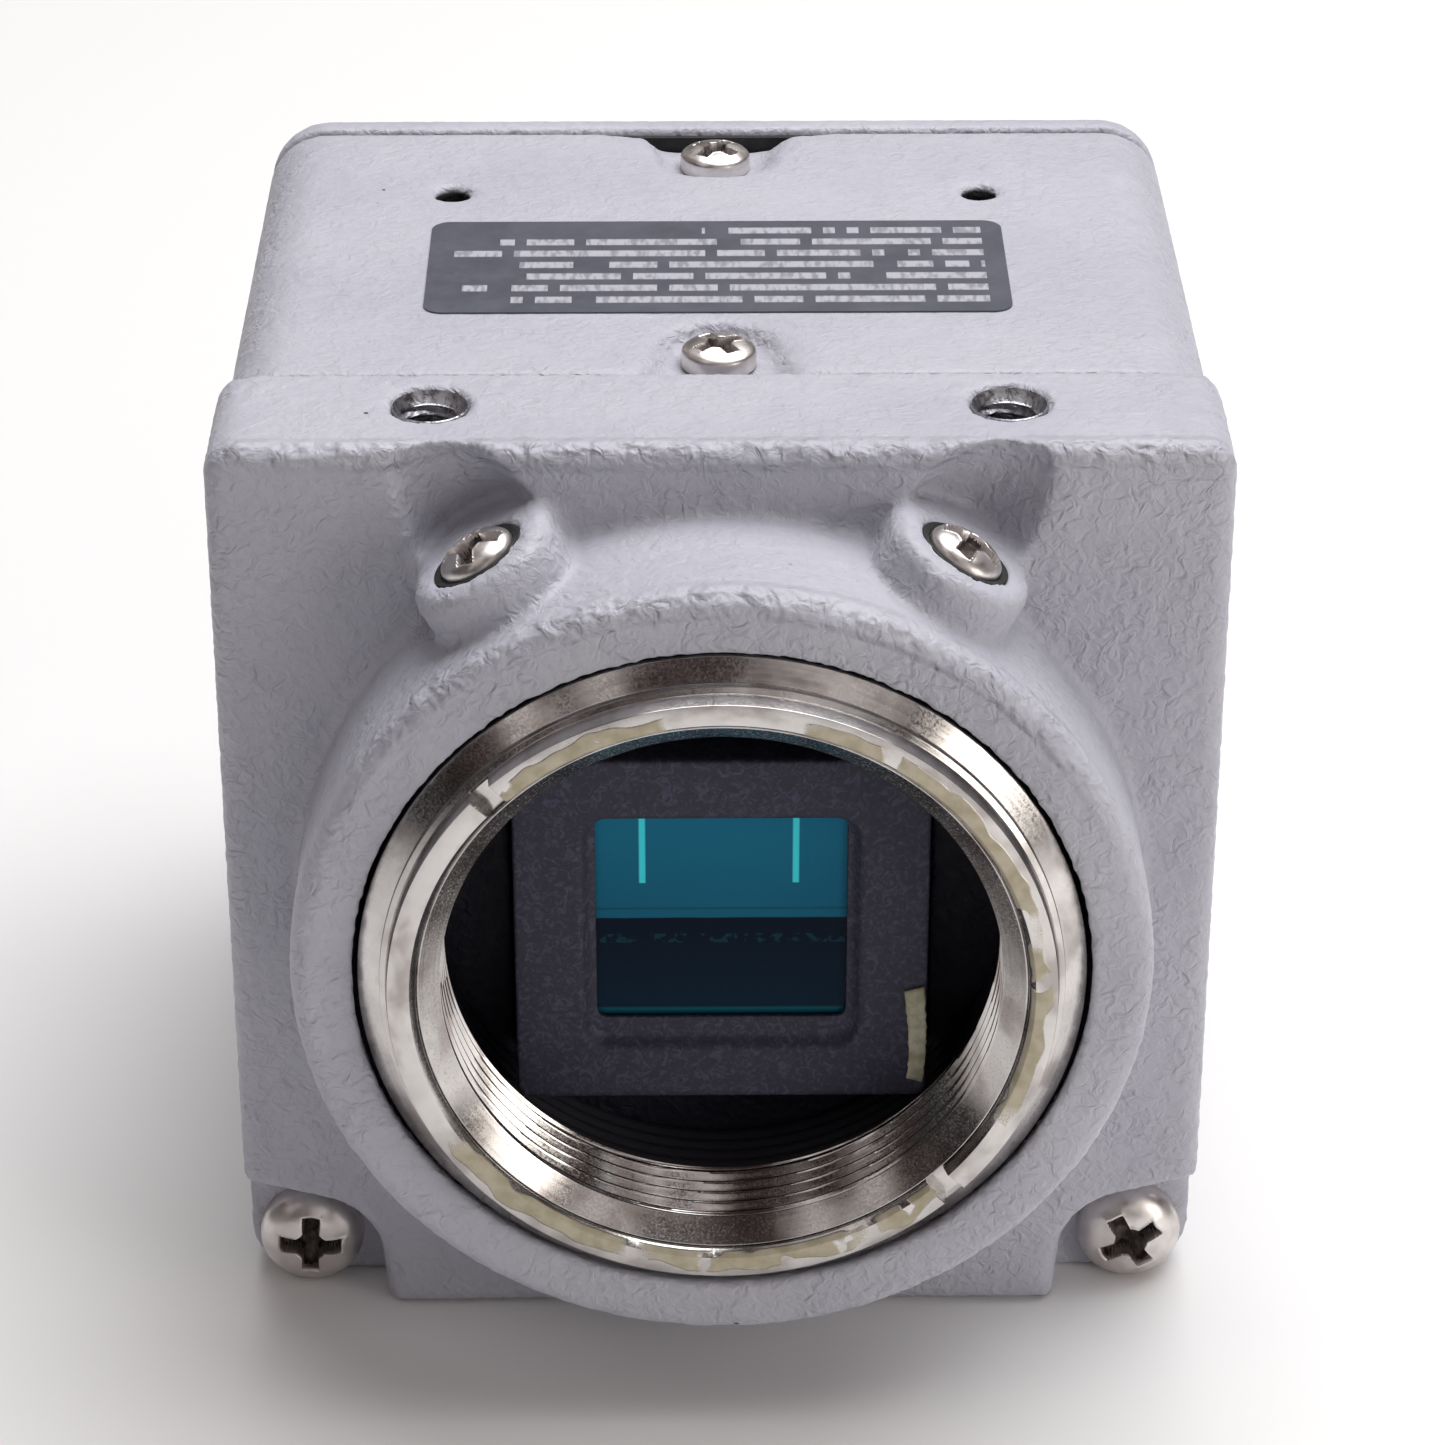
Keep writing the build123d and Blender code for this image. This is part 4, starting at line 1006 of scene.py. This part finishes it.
# ---------------------------------------------------------------- CAD nodes that keep their shape
kept = {
    "label_plate": LABEL_FILM, "ir_cut_filter": FILTER_GLASS_PAINTED_LIGHT,
    "rear_gasket": RUBBER, "dust_seal": RUBBER, "sensor_cover_glass": CLEAR_GLASS,
    "sensor_package": CERAMIC, "sensor_die": SILICON, "sensor_leads": GOLD,
    "round_connector_shell": NICKEL, "round_connector_nut": NICKEL,
    "digital_connector_shell": NICKEL, "jack_posts": NICKEL, "clock_crystal": NICKEL,
    "power_capacitors": NICKEL, "round_connector_contacts": GOLD,
    "digital_connector_contacts": GOLD, "status_led": LED_LENS,
    "holder_screws": SCREW_METAL, "stack_screws": SCREW_METAL,
}
for name, node in frame["nodes"].items():
    if name in kept:
        material = kept[name]
    elif name.endswith("_board"):
        material = SOLDER_MASK
    elif name.endswith("_spacers"):
        material = BRASS
    else:
        material = BLACK_PLASTIC
    node.data.materials.clear()
    node.data.materials.append(material)


# ---------------------------------------------------------------- stage, light, camera
def stage():
    """A plain pale floor under the camera."""
    floor_z = low["base_tray"].z * MM - 0.00002
    mesh = bpy.data.meshes.new("floor")
    size = 3.0
    mesh.from_pydata([(-size, -size, floor_z), (size, -size, floor_z), (size, size, floor_z),
                      (-size, size, floor_z)], [], [(0, 1, 2, 3)])
    floor = bpy.data.objects.new("floor", mesh)
    bpy.context.scene.collection.objects.link(floor)
    material = bpy.data.materials.new("floor")
    material.use_nodes = True
    shader = material.node_tree.nodes["Principled BSDF"]
    shader.inputs["Base Color"].default_value = (0.85, 0.85, 0.85, 1)
    shader.inputs["Roughness"].default_value = 0.9
    mesh.materials.append(material)


def soft_light(name, place, target, size, power, color=(1, 1, 1)):
    light = bpy.data.lights.new(name, "AREA")
    light.shape = "RECTANGLE"
    light.size, light.size_y = size
    light.energy = power
    light.color = color
    lamp = bpy.data.objects.new(name, light)
    lamp.location = place
    lamp.rotation_euler = (Vector(target) - Vector(place)).to_track_quat("-Z", "Y").to_euler()
    lamp.visible_camera = False
    bpy.context.scene.collection.objects.link(lamp)


def world():
    """Pale round the horizon, dim and mottled overhead, so that turned steel shows streaks."""
    surroundings = bpy.data.worlds.new("studio")
    surroundings.use_nodes = True
    tree = surroundings.node_tree
    background = tree.nodes["Background"]
    direction = tree.nodes.new("ShaderNodeTexCoord").outputs["Generated"]
    split = tree.nodes.new("ShaderNodeSeparateXYZ")
    tree.links.new(direction, split.inputs[0])
    mottle = tree.nodes.new("ShaderNodeTexNoise")
    mottle.inputs["Scale"].default_value = 3.2
    mottle.inputs["Detail"].default_value = 1.5
    tree.links.new(direction, mottle.inputs["Vector"])
    patches = tree.nodes.new("ShaderNodeMapRange")
    tree.links.new(mottle.outputs["Fac"], patches.inputs["Value"])
    patches.inputs["From Min"].default_value = 0.52
    patches.inputs["From Max"].default_value = 0.62
    overhead = tree.nodes.new("ShaderNodeMix")
    overhead.data_type = "RGBA"
    tree.links.new(patches.outputs["Result"], overhead.inputs["Factor"])
    overhead.inputs["A"].default_value = (0.045, 0.03, 0.028, 1)
    overhead.inputs["B"].default_value = (0.85, 0.79, 0.77, 1)
    height = tree.nodes.new("ShaderNodeMapRange")
    tree.links.new(split.outputs["Z"], height.inputs["Value"])
    height.inputs["From Min"].default_value = 0.1
    height.inputs["From Max"].default_value = 0.34
    whole = tree.nodes.new("ShaderNodeMix")
    whole.data_type = "RGBA"
    tree.links.new(height.outputs["Result"], whole.inputs["Factor"])
    side = tree.nodes.new("ShaderNodeMapRange")
    tree.links.new(split.outputs["X"], side.inputs["Value"])
    side.inputs["From Min"].default_value = -1.0
    side.inputs["To Min"].default_value = 0.012
    side.inputs["To Max"].default_value = 0.14
    tree.links.new(side.outputs["Result"], whole.inputs["A"])
    tree.links.new(overhead.outputs["Result"], whole.inputs["B"])
    tree.links.new(whole.outputs["Result"], background.inputs["Color"])
    background.inputs["Strength"].default_value = 1.0
    bpy.context.scene.world = surroundings


def camera():
    """Looks down at the mount from in front, a little left of the middle."""
    data = bpy.data.cameras.new("camera")
    data.sensor_width = 36
    data.lens = 117.9
    data.clip_start = 0.01
    data.clip_end = 20
    view = bpy.data.objects.new("camera", data)
    view.location = (-0.0015, -0.17455, 0.10998)
    view.rotation_euler = (math.radians(61.15), 0, math.radians(-0.49))
    bpy.context.scene.collection.objects.link(view)
    bpy.context.scene.camera = view


stage()
soft_light("overhead", (0.10, 0.125, 0.42), (0, 0.01, 0), (0.46, 0.38), 2.75)
soft_light("right_fill", (0.13, -0.10, 0.03), (0.015, 0, 0), (0.06, 0.08), 0.065, (1, 0.94, 0.87))
soft_light("front_card", (0.08, -0.5, 0.21), (0, 0, 0), (0.36, 0.06), 0.05)
world()
camera()
bpy.context.scene.view_settings.view_transform = "Standard"
